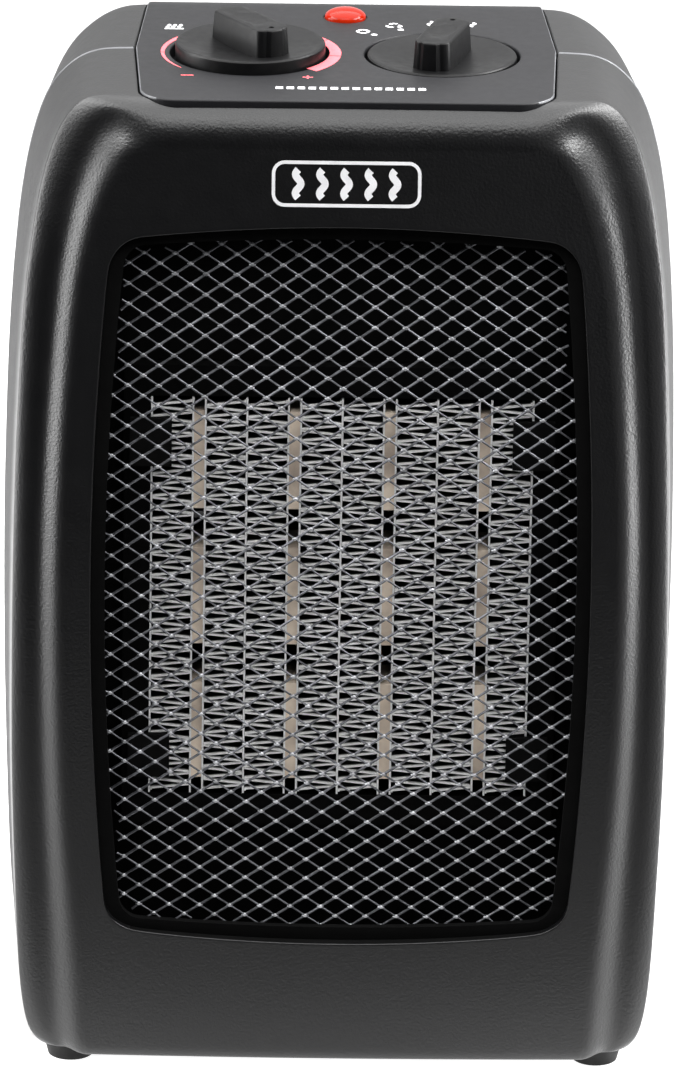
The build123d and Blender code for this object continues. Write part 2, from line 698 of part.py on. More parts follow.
def drill_motor(piece):
    """Cuts the holes of the two long motor screws."""
    for x in (-MOTOR_SCREW_X, MOTOR_SCREW_X):
        piece -= bar(x, CORE_MID_Z, 0, FAR, MOTOR_SCREW_RADIUS + 0.1)
    return piece


def make_motor_stator():
    """Laminated frame: a bored block above and a loop below that carries the coil."""
    low, high = CORE_MID_Z - MOTOR_BELOW, CORE_MID_Z + MOTOR_ABOVE
    stator = block((-MOTOR_HALF, MOTOR_FRONT_Y, low), (MOTOR_HALF, MOTOR_REAR_Y, high))
    half = MOTOR_HALF - MOTOR_LEG
    stator -= block((-half, 0, low + MOTOR_LEG), (half, FAR, CORE_MID_Z - MOTOR_BORE - 8))
    stator -= bar(0, CORE_MID_Z, 0, FAR, MOTOR_BORE)
    return drill_motor(stator)


def make_motor_coil():
    low = CORE_MID_Z - MOTOR_BELOW
    high = low + MOTOR_LEG
    near = (-COIL_HALF, MOTOR_FRONT_Y - COIL_BUILD, low - COIL_SIDE)
    coil = block(near, (COIL_HALF, MOTOR_REAR_Y + COIL_BUILD, high + COIL_SIDE))
    return coil - block((-MOTOR_HALF, MOTOR_FRONT_Y, low), (MOTOR_HALF, MOTOR_REAR_Y, high))


def make_motor_brackets():
    """Strap and bearing in front of the stator, and the same behind it."""
    brackets = []
    half = MOTOR_HALF - 1
    for front, rear in ((ARM_REAR_Y + 0.05, MOTOR_FRONT_Y), (MOTOR_REAR_Y, MOTOR_REAR_Y + 3)):
        strap = block((-half, front, CORE_MID_Z - 8), (half, front + STRAP_THICK, CORE_MID_Z + 8))
        strap += bar(0, CORE_MID_Z, front, rear, 5.0)
        strap -= bar(0, CORE_MID_Z, 0, FAR, SHAFT_RADIUS + SHAFT_PLAY)
        brackets.append(drill_motor(strap))
    return Compound(brackets)


def make_motor_screws():
    screws = []
    seat = MOTOR_REAR_Y + STRAP_THICK
    for x in (-MOTOR_SCREW_X, MOTOR_SCREW_X):
        head = bar(x, CORE_MID_Z, seat + 0.05, seat + 2.5, 3.0)
        screws.append(head + bar(x, CORE_MID_Z, ARM_REAR_Y + 1, seat + 0.1, MOTOR_SCREW_RADIUS))
    return Compound(screws)


# ---- base, screws and cord inlet ---------------------------------------------------------------
def make_rubber_feet():
    feet = []
    for x in (-FOOT_X, FOOT_X):
        for y in (-FOOT_Y, FOOT_Y):
            pad = Pos(x, y, BASE_Z / 2) * Cone(FOOT_BOTTOM_RADIUS, FOOT_TOP_RADIUS, BASE_Z)
            feet.append(pad + post(x, y, BASE_Z - 0.5, BASE_Z + WALL + 2, FOOT_STEM_RADIUS))
    return Compound(feet)


def make_shell_screws():
    heads = screw_posts(SCREW_SEAT_Y + 0.05, SCREW_SEAT_Y + 0.05 + SCREW_HEAD_LENGTH, SCREW_HEAD_RADIUS)
    shanks = screw_posts(SCREW_TIP_Y, SCREW_SEAT_Y + 1.0, SCREW_RADIUS)
    return Compound([head + shank for head, shank in zip(heads, shanks)])


def make_tip_switch_body():
    case = block((-8, PLUNGER_Y - 8, BASE_Z + WALL), (8, PLUNGER_Y + 8, 36))
    return case - post(0, PLUNGER_Y, 0, 28.5, PLUNGER_RADIUS + PLUNGER_PLAY)


def make_tip_switch_plunger():
    rod = post(0, PLUNGER_Y, 0, PLUNGER_TOP_Z, PLUNGER_RADIUS)
    return fillet(rod.edges().sort_by(Axis.Z)[0], 1.0)


def make_tip_switch_spring():
    wire = 0.35
    path = Helix(pitch=2.4, height=12.0 - 2 * wire, radius=2.6)
    path = Pos(0, PLUNGER_Y, PLUNGER_TOP_Z + wire + 0.02) * path
    start = Plane(path @ 0, z_dir=path % 0)
    return sweep(start * Circle(wire), path=path)


def make_cord_inlet():
    gland = bar(INLET_X, INLET_Z, INLET_FRONT_Y, REAR_Y + 0.1, INLET_NECK)
    gland += bar(INLET_X, INLET_Z, REAR_Y + 0.05, REAR_Y + 1.5, INLET_FLANGE)
    return gland - bar(INLET_X, INLET_Z, 0, FAR, INLET_BORE)


# ---- all pieces ------------------------------------------------------------------------------
def make_pieces():
    """Every piece of the heater, by name."""
    housing = make_housing()
    pieces = {
        "front_shell": make_front_shell(housing),
        "rear_shell": make_rear_shell(housing),
        "grille_frame": make_grille_frame(),
        "front_grille": make_front_grille(),
        "control_panel": make_control_panel(),
        "thermostat_knob": make_knob("thermostat"),
        "mode_knob": make_knob("mode"),
        "thermostat_spindle": make_spindle("thermostat"),
        "mode_spindle": make_spindle("mode"),
        "thermostat_body": make_thermostat_body(),
        "mode_switch_body": make_mode_switch_body(),
        "indicator_lens": make_indicator_lens(),
        "indicator_lamp": make_indicator_lamp(),
        "heater_frame": make_heater_frame(),
        "heater_terminals": make_heater_terminals(),
        "corner_clips": make_corner_clips(),
        "baffle_plate": make_baffle(),
        "thermal_cutoff": make_thermal_cutoff(),
        "spreader_plates": Compound([core_plate(x) for x in spreader_middles()]),
        "fan_duct": make_fan_duct(),
        "fan_rotor": make_fan_rotor(),
        "motor_shaft": bar(0, CORE_MID_Z, FAN_FRONT_Y - 1, MOTOR_REAR_Y + 6, SHAFT_RADIUS),
        "motor_rotor": ring(MOTOR_FRONT_Y + 0.5, MOTOR_REAR_Y - 0.5, MOTOR_BORE - 0.4, SHAFT_RADIUS),
        "motor_stator": make_motor_stator(),
        "motor_coil": make_motor_coil(),
        "motor_brackets": make_motor_brackets(),
        "motor_screws": make_motor_screws(),
        "rubber_feet": make_rubber_feet(),
        "shell_screws": make_shell_screws(),
        "tip_switch_body": make_tip_switch_body(),
        "tip_switch_plunger": make_tip_switch_plunger(),
        "tip_switch_spring": make_tip_switch_spring(),
        "cord_inlet": make_cord_inlet(),
    }
    electrode_x = [x + side * PLATE / 2 for pair in column_faces() for x, side in zip(pair, (1, -1))]
    pieces["electrode_plates"] = Compound([core_plate(x) for x in electrode_x])
    for number, x in enumerate(COLUMN_X, 1):
        pieces[f"ceramic_column_{number}"] = make_ceramic_column(x)
    for number, span in enumerate(fin_spans(), 1):
        pieces[f"fin_bank_{number}"] = make_fin_bank(span)
    return pieces


def main():
    os.makedirs("parts", exist_ok=True)
    for name, shape in make_pieces().items():
        export_step(shape, f"parts/{name}.step")


if __name__ == "__main__":
    main()
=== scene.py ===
import math
import random

import bmesh
import bpy
from mathutils import Matrix, Vector


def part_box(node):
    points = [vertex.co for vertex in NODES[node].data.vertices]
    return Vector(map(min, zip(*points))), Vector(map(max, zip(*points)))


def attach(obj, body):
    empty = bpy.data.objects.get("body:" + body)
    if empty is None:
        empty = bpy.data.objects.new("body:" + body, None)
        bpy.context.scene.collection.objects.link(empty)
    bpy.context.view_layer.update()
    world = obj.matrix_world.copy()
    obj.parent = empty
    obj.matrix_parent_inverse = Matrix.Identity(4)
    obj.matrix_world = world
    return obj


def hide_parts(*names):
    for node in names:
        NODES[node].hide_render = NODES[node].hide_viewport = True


# Ceramic space heater. All lengths below are millimetres in the frame's axes; meshes are made in metres.
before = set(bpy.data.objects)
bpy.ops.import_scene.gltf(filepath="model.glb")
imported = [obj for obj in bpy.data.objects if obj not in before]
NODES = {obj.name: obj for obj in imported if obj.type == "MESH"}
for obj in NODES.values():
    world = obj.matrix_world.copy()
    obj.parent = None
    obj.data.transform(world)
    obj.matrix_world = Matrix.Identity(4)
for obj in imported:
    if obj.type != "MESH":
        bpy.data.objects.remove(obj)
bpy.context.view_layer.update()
MM = 0.001
random.seed(7)

# ---- sizes of the housing
FRONT_Y = -65.0
REAR_Y = 63.5
BASE_Z = 5.2
TOP_Z = 240.6
FACE_RADIUS = 1040.0  # the face curves back above LEAN_Z
LEAN_Z = 40.0
FACE_BOW = 3600.0  # sideways bow of the face: depth is x squared over this
WALL = 2.2
SEAM_Y = 2.0  # joint between the shells
SEAM_GAP = 0.1  # each shell stops this far from it
SEAM_BEAD = [(0.0, 0.45), (0.15, 0.05), (0.4, -0.16), (0.8, -0.12)]  # edge of the rear shell: depth, inset
EDGE_ROUND = 2.0  # rounding under the face
BACK_RADIUS = 27.0  # rounding of the top into the rear
BACK_EDGE = 8.0
REAR_SQUEEZE = 0.07  # the rear is narrower by this share
REAR_TOP_FIXED_Z = 150.0  # the rounding lowers what is above this
SHOULDER_Z = 222.0  # above this the rear shell's shoulders draw in towards the rear
SHOULDER_SQUEEZE = 0.055
SHOULDER_RUN = 35.0
HALF_WIDTH = 82.0
TOP_INSET_SHARE = 0.4  # an inset of the rear shell lowers its top by this share of it

# grille opening
OPEN_HALF = 59.6
OPEN_MID_Z = 124.25
OPEN_BOW = 1640.0
OPEN_CORNER = 9.0
OPEN_CORNER_X = 47.0
OPEN_LOW_Z = (36.0, 38.6, 47.6)  # lower edge at the middle, at the corner, and the corner's centre
OPEN_HIGH_Z = (212.5, 209.6, 200.6)

# Right half of the front shell from bottom centre to top centre. Each row: how far round the opening
# (0 bottom centre, 1 to 2 lower corner, 3 to 4 upper corner, 5 top centre), then width and height of
# the raised front's edge, of the outer lip and of the joint with the rear shell, then how much the
# plain rounded nose takes over from the hollow border.
ROWS = [
    (0.00, (0.0, 5.2), (0.0, 5.2), (0.0, 5.2), 0.0),
    (0.40, (20.0, 5.2), (24.0, 5.2), (25.0, 5.2), 0.0),
    (0.75, (38.0, 5.2), (43.0, 5.2), (45.0, 5.2), 0.0),
    (1.00, (49.0, 5.2), (56.0, 5.2), (60.0, 5.2), 0.0),
    (1.25, (55.5, 5.2), (63.5, 5.2), (66.5, 5.2), 0.0),
    (1.50, (59.3, 5.2), (68.6, 5.2), (71.0, 5.2), 0.0),
    (1.58, (60.0, 5.6), (70.8, 5.7), (73.8, 6.4), 0.0),
    (1.68, (60.3, 7.6), (72.8, 7.9), (76.2, 9.2), 0.0),
    (1.82, (60.4, 10.5), (74.6, 11.0), (78.2, 13.0), 0.0),
    (2.00, (60.6, 20.0), (76.0, 20.0), (79.6, 20.0), 0.0),
    (2.07, (61.2, 33.0), (76.8, 33.0), (80.4, 33.0), 0.0),
    (2.15, (62.5, 48.0), (77.3, 48.0), (80.9, 48.0), 0.0),
    (2.28, (64.5, 73.0), (78.2, 73.0), (81.6, 73.0), 0.0),
    (2.42, (65.5, 98.0), (78.3, 98.0), (81.9, 98.0), 0.0),
    (2.55, (66.0, 123.0), (78.2, 123.0), (81.9, 123.0), 0.0),
    (2.68, (65.5, 147.0), (77.8, 147.0), (81.4, 147.0), 0.0),
    (2.81, (64.0, 171.0), (77.0, 171.0), (80.7, 171.0), 0.0),
    (2.94, (61.8, 196.0), (75.7, 196.0), (78.9, 196.0), 0.0),
    (3.05, (59.8, 207.0), (74.0, 207.0), (77.5, 207.0), 0.0),
    (3.20, (57.6, 215.0), (72.8, 216.0), (76.0, 216.0), 0.0),
    (3.40, (55.0, 221.4), (71.0, 223.6), (73.9, 224.0), 0.0),
    (3.58, (52.4, 226.4), (68.9, 230.0), (71.2, 231.0), 0.0),
    (3.72, (50.0, 229.6), (66.4, 234.8), (68.0, 235.0), 0.05),
    (3.84, (47.4, 230.4), (63.2, 238.1), (64.4, 238.2), 0.25),
    (3.94, (45.0, 230.8), (59.6, 240.0), (60.4, 239.9), 0.65),
    (4.10, (41.5, 230.8), (54.2, 240.6), (56.5, 240.6), 1.0),
    (4.35, (30.0, 230.8), (38.5, 240.6), (40.0, 240.6), 1.0),
    (4.70, (15.0, 230.8), (19.5, 240.6), (20.0, 240.6), 1.0),
    (5.00, (0.0, 230.8), (0.0, 240.6), (0.0, 240.6), 1.0),
]
# Section through the border: share of the way from the raised front's edge to the lip, and depth.
BORDER = [
    (0.0, 0.02), (0.07, 0.12), (0.15, 0.55), (0.24, 1.4), (0.33, 2.5), (0.42, 3.55), (0.51, 4.25),
    (0.6, 4.5), (0.68, 4.52), (0.76, 4.65), (0.84, 5.0), (0.91, 5.5), (0.96, 5.95), (1.0, 6.4),
]
LIP = [(0.14, 6.75), (0.22, 7.3), (0.32, 9.5)]  # outside the lip: distance out, depth
DEEPER_Z = 195.0  # the border deepens above this, over DEEPER_RUN, by DEEPER_BY of its depth
DEEPER_RUN = 35.0
DEEPER_BY = 0.3
SIDE_STEPS = (0.15, 0.4, 0.7, 1.0)
JOINT_EDGE = [(0.06, 0.28), (0.3, 0.4)]  # rounding at the joint: inset, depth past the side's end
JOINT_HALF = (80.0, 117.0)  # half-width and half-height that the inset is a share of
OPENING_EDGE = [(0.0, 3.6), (0.0, 1.2), (0.02, 0.35), (0.15, 0.07), (0.45, 0.0), (1.2, 0.0)]
FACE_STEPS = (0.35, 0.6)
BEFORE_EDGE = [(4.0, 0.28), (2.0, 0.16), (0.7, 0.06)]  # rings short of the edge: distance or share

# ---- sizes of the control panel, knobs and lens
PANEL_SIDE = [(48.6, -42.0), (50.5, SEAM_Y), (47.4, 54.0)]  # half-widths along its depth
PANEL_CORNER = 9.0
PANEL_Z = 241.0
PANEL_THICK = 2.6
PANEL_GAP = 0.35
KNOBS = {
    "thermostat": {"spot": (-23.0, -2.0), "well": 19.2, "rim": 2.8, "grip": 8.6, "angle": -58.0},
    "mode": {"spot": (23.0, -2.0), "well": 18.7, "rim": 0.1, "grip": 6.1, "angle": 74.0},
}
KNOB_RADIUS = 18.0
WELL_Z = 237.4
CUP_Z = 235.4
KNOB_LOW_Z = 237.8
LENS_SPOT = (0.0, 29.0)
LENS_RADIUS = 5.0
LENS_HEIGHT = 2.3
LENS_STEM = 3.8

# ---- sizes of the grille
MESH_DEPTH = 4.9
CELL = (7.3, 4.87)
STRAND_WIDE = 0.58
STRAND_THICK = 0.38
STRAND_SECTION = [
    (-0.5, -0.3), (-0.3, -0.5), (0.3, -0.5), (0.5, -0.3), (0.5, 0.3), (0.3, 0.5), (-0.3, 0.5), (-0.5, 0.3),
]
STRAND_TILTS = [(-1, 52.0), (1, -58.0)]  # a strand that falls and one that rises: step, twist in degrees
STRAND_BEND = 0.35  # a cut end is bent by up to this
STRAND_REACH = (0.35, 0.75)  # and goes on for this share of a cell
STRAND_WOBBLE = 6.0
KNUCKLE_SIZE = (0.85, 0.5, 0.4)
MESH_INSET = 3.2
MESH_LOWER = 1.4  # the sheet reaches this much closer to the opening's lower edge


# ---- mesh helpers
def link_mesh(name, points, faces):
    """New object from points in millimetres, with faces turned outwards."""
    mesh = bpy.data.meshes.new(name)
    mesh.from_pydata([tuple(c * MM for c in p) for p in points], [], faces)
    obj = bpy.data.objects.new(name, mesh)
    bpy.context.scene.collection.objects.link(obj)
    bm = bmesh.new()
    bm.from_mesh(mesh)
    bmesh.ops.recalc_face_normals(bm, faces=bm.faces)
    bm.to_mesh(mesh)
    bm.free()
    return obj


def loft(rings, closed=True, caps=True, looped=False):
    """Points and faces of a skin over rings of equal length; looped joins the last ring to the first."""
    count = len(rings[0])
    points = [p for ring in rings for p in ring]
    faces = []
    around = count if closed else count - 1
    along = len(rings) if looped else len(rings) - 1
    for r in range(along):
        after = (r + 1) % len(rings)
        for i in range(around):
            j = (i + 1) % count
            faces.append((r * count + i, r * count + j, after * count + j, after * count + i))
    if caps and not looped:
        faces.append(tuple(reversed(range(count))))
        faces.append(tuple(range((len(rings) - 1) * count, len(rings) * count)))
    return points, faces


def circle(steps):
    """Cosine and sine at even steps round a circle."""
    turn = [2 * math.pi * i / steps for i in range(steps)]
    return [(math.cos(a), math.sin(a)) for a in turn]


def turned(name, profile, spot, steps=96):
    """Solid round form about a vertical axis, from (radius, height) pairs."""
    rings = []
    for radius, z in profile:
        rings.append([(spot[0] + radius * c, spot[1] + radius * s, z) for c, s in circle(steps)])
    return link_mesh(name, *loft(rings))


def stacked(name, levels, plan):
    """Solid whose plan grows or shrinks with height, from (height, growth) pairs."""
    rings = [[(x, y, z) for x, y in plan(grow)] for z, grow in levels]
    return link_mesh(name, *loft(rings))


def rounded_plan(half_x, low_y, high_y, radius, steps=10):
    """Plan outline of a rectangle with round corners."""
    points = []
    corners = [(half_x, high_y, 0), (-half_x, high_y, 90), (-half_x, low_y, 180), (half_x, low_y, 270)]
    for x, y, start in corners:
        cx = x - math.copysign(radius, x)
        cy = y - math.copysign(radius, y - (low_y + high_y) / 2)
        for i in range(steps + 1):
            a = math.radians(start + 90 * i / steps)
            points.append((cx + radius * math.cos(a), cy + radius * math.sin(a)))
    return points


def round_corner(a, b, c, radius, steps):
    """Arc that rounds the corner b between a and c."""
    corner = Vector(b)
    to_a, to_c = (Vector(a) - corner).normalized(), (Vector(c) - corner).normalized()
    half = to_a.angle(to_c) / 2
    middle = corner + (to_a + to_c).normalized() * (radius / math.sin(half))
    start = corner + to_a * (radius / math.tan(half)) - middle
    end = corner + to_c * (radius / math.tan(half)) - middle
    return [tuple(middle + start.lerp(end, i / steps).normalized() * radius) for i in range(steps + 1)]


def panel_plan(grow, steps=12):
    """Plan of the control panel grown all round: widest at the seam, with round corners."""
    right = []
    for x, y in PANEL_SIDE:
        away = (y > SEAM_Y) - (y < SEAM_Y)
        right.append((x + grow, y + away * grow))
    corners = right + [(-x, y) for x, y in reversed(right)]
    points = []
    for i, here in enumerate(corners):
        if here[1] == SEAM_Y:
            points.append(here)
        else:
            after = corners[(i + 1) % len(corners)]
            points += round_corner(corners[i - 1], here, after, PANEL_CORNER + grow, steps)
    return points


def bend_rear(obj):
    """Lets a flat piece on top of the heater follow the rounding of its rear edge."""
    start = REAR_Y - BACK_RADIUS
    bm = bmesh.new()
    bm.from_mesh(obj.data)
    for i in range(12):
        spot = Vector((0, start + 1.6 * i, 0)) * MM
        parts = list(bm.verts) + list(bm.edges) + list(bm.faces)
        bmesh.ops.bisect_plane(bm, geom=parts, plane_co=spot, plane_no=Vector((0, 1, 0)), dist=1e-7)
    for vertex in bm.verts:
        behind = vertex.co.y / MM - start
        if behind > 0:
            vertex.co.z -= (BACK_RADIUS - math.sqrt(BACK_RADIUS**2 - behind**2)) * MM
    bm.to_mesh(obj.data)
    bm.free()


def apply_modifiers(obj):
    """Turns an object's modifiers into its mesh."""
    graph = bpy.context.evaluated_depsgraph_get()
    mesh = bpy.data.meshes.new_from_object(obj.evaluated_get(graph))
    obj.modifiers.clear()
    old = obj.data
    obj.data = mesh
    bpy.data.meshes.remove(old)


def combine(obj, tool, operation):
    """Cuts a tool out of an object or adds it, and removes the tool."""
    modifier = obj.modifiers.new("combine", "BOOLEAN")
    modifier.operation = operation
    modifier.solver = "MANIFOLD"
    modifier.object = tool
    apply_modifiers(obj)
    mesh = tool.data
    bpy.data.objects.remove(tool)
    bpy.data.meshes.remove(mesh)


def cut(obj, tool):
    combine(obj, tool, "DIFFERENCE")


def add(obj, tool):
    combine(obj, tool, "UNION")


def refine(obj, levels):
    """Subdivides a skin smoothly."""
    modifier = obj.modifiers.new("refine", "SUBSURF")
    modifier.levels = levels
    modifier.render_levels = levels
    apply_modifiers(obj)


def thicken(obj, thickness):
    """Gives a skin a wall on its inner side."""
    modifier = obj.modifiers.new("wall", "SOLIDIFY")
    modifier.thickness = thickness * MM
    modifier.offset = -1.0
    apply_modifiers(obj)


def place(obj, material, replaced=(), sharp=38, body="housing"):
    """Shades a finished piece and hands it to the frame."""
    obj.data.materials.clear()
    obj.data.materials.append(material)
    obj.data.shade_smooth()
    obj.data.set_sharp_from_angle(angle=math.radians(sharp))
    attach(obj, body)
    if replaced:
        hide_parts(*replaced)


# ---- materials
def linear(rgb):
    """sRGB from 0 to 255 as linear colour."""
    values = []
    for c in rgb:
        c = c / 255
        values.append(c / 12.92 if c <= 0.04045 else ((c + 0.055) / 1.055) ** 2.4)
    return (*values, 1.0)


CLOUD_SPAN = 0.15  # how far from its middle value the noise reaches full effect
ROUGH_SPAN = 0.2


def along_depth(nodes, links, place_node, start, end, low, high):
    """A value that runs from low to high between two depths of the heater, in millimetres."""
    split = nodes.new("ShaderNodeSeparateXYZ")
    links.new(place_node.outputs["Object"], split.inputs["Vector"])
    run = nodes.new("ShaderNodeMapRange")
    run.interpolation_type = "SMOOTHSTEP"
    limits = {"From Min": start * MM, "From Max": end * MM, "To Min": low, "To Max": high}
    for socket, value in limits.items():
        run.inputs[socket].default_value = value
    links.new(split.outputs["Y"], run.inputs["Value"])
    return run.outputs["Result"]


def finish(
    name, colour, rough, grain, blotch, rough_spread=0.06, rough_run=None, fade=None, **sockets
):
    """Procedural material: cloudy colour, uneven roughness and a fine grain.

    grain is its scale per metre, strength and height in millimetres; blotch is scale and spread.
    rough_run adds roughness and fade dims the colour between two depths.
    """
    material = bpy.data.materials.new(name)
    material.use_nodes = True
    nodes = material.node_tree.nodes
    links = material.node_tree.links
    shader = nodes["Principled BSDF"]
    place_node = nodes.new("ShaderNodeTexCoord")

    def noise(scale, detail):
        node = nodes.new("ShaderNodeTexNoise")
        node.inputs["Scale"].default_value = scale
        node.inputs["Detail"].default_value = detail
        links.new(place_node.outputs["Object"], node.inputs["Vector"])
        return node.outputs["Fac"]

    ramp = nodes.new("ShaderNodeValToRGB")
    base = linear(colour)
    for element, side in zip(ramp.color_ramp.elements, (-1, 1)):
        share = 1 + side * blotch[1]
        element.color = (*[min(c * share, 1.0) for c in base[:3]], 1.0)
        element.position = 0.5 + side * CLOUD_SPAN
    links.new(noise(blotch[0], 5.0), ramp.inputs["Fac"])
    if fade:
        dim = nodes.new("ShaderNodeVectorMath")
        dim.operation = "SCALE"
        links.new(ramp.outputs["Color"], dim.inputs[0])
        links.new(along_depth(nodes, links, place_node, *fade), dim.inputs["Scale"])
        links.new(dim.outputs["Vector"], shader.inputs["Base Color"])
    else:
        links.new(ramp.outputs["Color"], shader.inputs["Base Color"])

    spread = nodes.new("ShaderNodeMapRange")
    for side, end in ((-1, "Min"), (1, "Max")):
        spread.inputs[f"From {end}"].default_value = 0.5 + side * ROUGH_SPAN
        spread.inputs[f"To {end}"].default_value = rough + side * rough_spread
    links.new(noise(grain[0] / 6, 3.0), spread.inputs["Value"])
    roughness = spread.outputs["Result"]
    if rough_run:
        total = nodes.new("ShaderNodeMath")
        links.new(roughness, total.inputs[0])
        links.new(along_depth(nodes, links, place_node, *rough_run), total.inputs[1])
        roughness = total.outputs["Value"]
    links.new(roughness, shader.inputs["Roughness"])

    bump = nodes.new("ShaderNodeBump")
    bump.inputs["Strength"].default_value = grain[1]
    bump.inputs["Distance"].default_value = grain[2] * MM
    links.new(noise(grain[0], 2.0), bump.inputs["Height"])
    links.new(bump.outputs["Normal"], shader.inputs["Normal"])
    for socket, value in sockets.items():
        shader.inputs[socket.replace("_", " ")].default_value = value
    return material


HOUSING = finish(
    "housing_plastic", (12, 12, 13), 0.31, (1500, 0.9, 0.09), (60, 0.08), rough_spread=0.02,
    rough_run=(-48.0, -26.0, 0.0, 0.27),
)
PANEL = finish(
    "panel_plastic", (15, 15, 18), 0.5, (3000, 0.6, 0.05), (90, 0.1), rough_spread=0.03,
    Specular_IOR_Level=0.26,
)
# Painted highlight: a paler grey laid on the rear shell's seam edge and on the panel's sloped rim, where
# light catches them.
EDGE_HIGHLIGHT = finish("painted_edge_highlight", (84, 85, 88), 0.42, (2600, 0.4, 0.04), (160, 0.3))
KNOB = finish("knob_plastic", (9, 9, 10), 0.4, (2600, 0.35, 0.04), (60, 0.15), Specular_IOR_Level=0.18)
# Black plastic darkened past its own colour to near pure black, dull and barely shiny: painted shade for the
# dark inside of the heater.
FRAME_BLACK_AND_SHADE = finish("frame_black_and_painted_shade", (3, 3, 3), 0.9, (1500, 0.3, 0.05), (60, 0.3), Specular_IOR_Level=0.1)
# Also darkened past its own black as painted shade inside the heater.
INNER_BLACK_AND_SHADE = finish("inner_plastic", (6, 6, 6), 0.85, (1500, 0.3, 0.05), (60, 0.3), Specular_IOR_Level=0.15)
CORE_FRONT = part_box("fin_bank_1")[0][1] / MM
# Painted shade: the fins' colour dims from bright at their front edges to near black 1.35 mm deeper, standing
# in for the shade between them.
ALUMINIUM_DEPTH_SHADE = finish(
    "core_aluminium", (250, 250, 248), 0.45, (1200, 0.4, 0.06), (160, 0.1), Metallic=0.1,
    fade=(CORE_FRONT + 0.25, CORE_FRONT + 1.35, 1.0, 0.02),
)
CERAMIC = finish("core_ceramic", (228, 208, 190), 0.75, (1500, 0.5, 0.08), (70, 0.36))
FAN = finish("fan_plastic", (28, 28, 30), 0.45, (2000, 0.3, 0.04), (50, 0.2))
SWITCH = finish("switch_case", (60, 58, 55), 0.5, (1800, 0.3, 0.04), (70, 0.2))
LENS = finish(
    "lens_red", (142, 18, 1), 0.14, (500, 0.08, 0.02), (160, 0.2),
    Specular_IOR_Level=0.16, Transmission_Weight=0.05, IOR=1.49,
    Emission_Color=(1.0, 0.09, 0.01, 1.0), Emission_Strength=0.12,
)
GLASS = finish("lamp_glass", (190, 120, 90), 0.15, (500, 0.1, 0.02), (90, 0.15), Transmission_Weight=0.6)
RUBBER = finish("foot_rubber", (18, 18, 18), 0.75, (1800, 0.5, 0.06), (60, 0.25))
PRINT_WHITE = finish("print_white", (226, 226, 228), 0.55, (2500, 0.3, 0.02), (300, 0.05))
PRINT_RED = finish("print_red", (232, 96, 104), 0.55, (2500, 0.3, 0.02), (300, 0.06))
PLUNGER = finish("plunger_plastic", (200, 196, 186), 0.5, (1500, 0.3, 0.04), (60, 0.1))


def metal(name, colour, rough, grain, blotch, metallic=1.0):
    """Procedural material of bare metal."""
    return finish(name, colour, rough, grain, blotch, Metallic=metallic)


GRILLE = metal("grille_steel", (98, 99, 103), 0.48, (900, 0.5, 0.08), (350, 0.4))
# Painted highlight: the knuckles are the strands' steel made much paler, standing in for glints where the
# strands meet.
KNUCKLE_GLINT = metal("grille_knuckle_glint", (190, 191, 195), 0.36, (900, 0.5, 0.08), (350, 0.35), 0.8)
SPINDLE = metal("spindle_metal", (150, 150, 148), 0.35, (1500, 0.2, 0.03), (90, 0.15))
BRASS = metal("terminal_brass", (190, 160, 90), 0.35, (1500, 0.3, 0.03), (80, 0.2))
LAMINATION = metal("lamination_steel", (110, 112, 115), 0.45, (1800, 0.5, 0.05), (90, 0.2))
BRACKET = metal("bracket_steel", (160, 162, 165), 0.38, (1200, 0.3, 0.03), (60, 0.15))
SCREW = metal("screw_steel", (120, 120, 122), 0.35, (1500, 0.3, 0.03), (90, 0.2))
COPPER = metal("coil_copper", (170, 80, 35), 0.35, (1500, 0.8, 0.15), (120, 0.25))
SPRING = metal("spring_steel", (170, 170, 172), 0.3, (1500, 0.2, 0.02), (90, 0.15))

CAD_FINISH = [
    (FRAME_BLACK_AND_SHADE, ("grille_frame", "baffle_plate", "heater_frame")),
    (INNER_BLACK_AND_SHADE, ("corner_clips", "fan_duct")),
    (ALUMINIUM_DEPTH_SHADE, ("fin_bank", "spreader_plates", "electrode_plates")),
    (CERAMIC, "ceramic_column"),
    (BRASS, "heater_terminals"),
    (SPINDLE, ("thermal_cutoff", "motor_shaft", "thermostat_spindle", "mode_spindle")),
    (FAN, "fan_rotor"),
    (LAMINATION, ("motor_rotor", "motor_stator")),
    (COPPER, "motor_coil"),
    (BRACKET, "motor_brackets"),
    (SCREW, ("motor_screws", "shell_screws")),
    (RUBBER, ("rubber_feet", "cord_inlet")),
    (SWITCH, ("tip_switch_body", "thermostat_body", "mode_switch_body")),
    (PLUNGER, "tip_switch_plunger"),
    (SPRING, "tip_switch_spring"),
    (GLASS, "indicator_lamp"),
]


def finish_cad_nodes():
    """Gives every CAD node that stays its material, by the start of its name."""
    for name, obj in NODES.items():
        for material, starts in CAD_FINISH:
            if not name.startswith(starts):
                continue
            if not obj.material_slots:
                obj.data.materials.append(material)
            for slot in obj.material_slots:
                slot.material = material


# ---- front shell
def face_y(x, z):
    """Depth of the front face."""
    lean = max(z - LEAN_Z, 0.0)
    return FRONT_Y + FACE_RADIUS - math.sqrt(FACE_RADIUS**2 - lean**2) + x * x / FACE_BOW


def under_round(z):
    """How far the rounding under the face sets it back at height z."""
    share = max(BASE_Z + EDGE_ROUND - z, 0.0) / EDGE_ROUND
    return EDGE_ROUND * (1 - math.sqrt(max(1 - share * share, 0.0)))


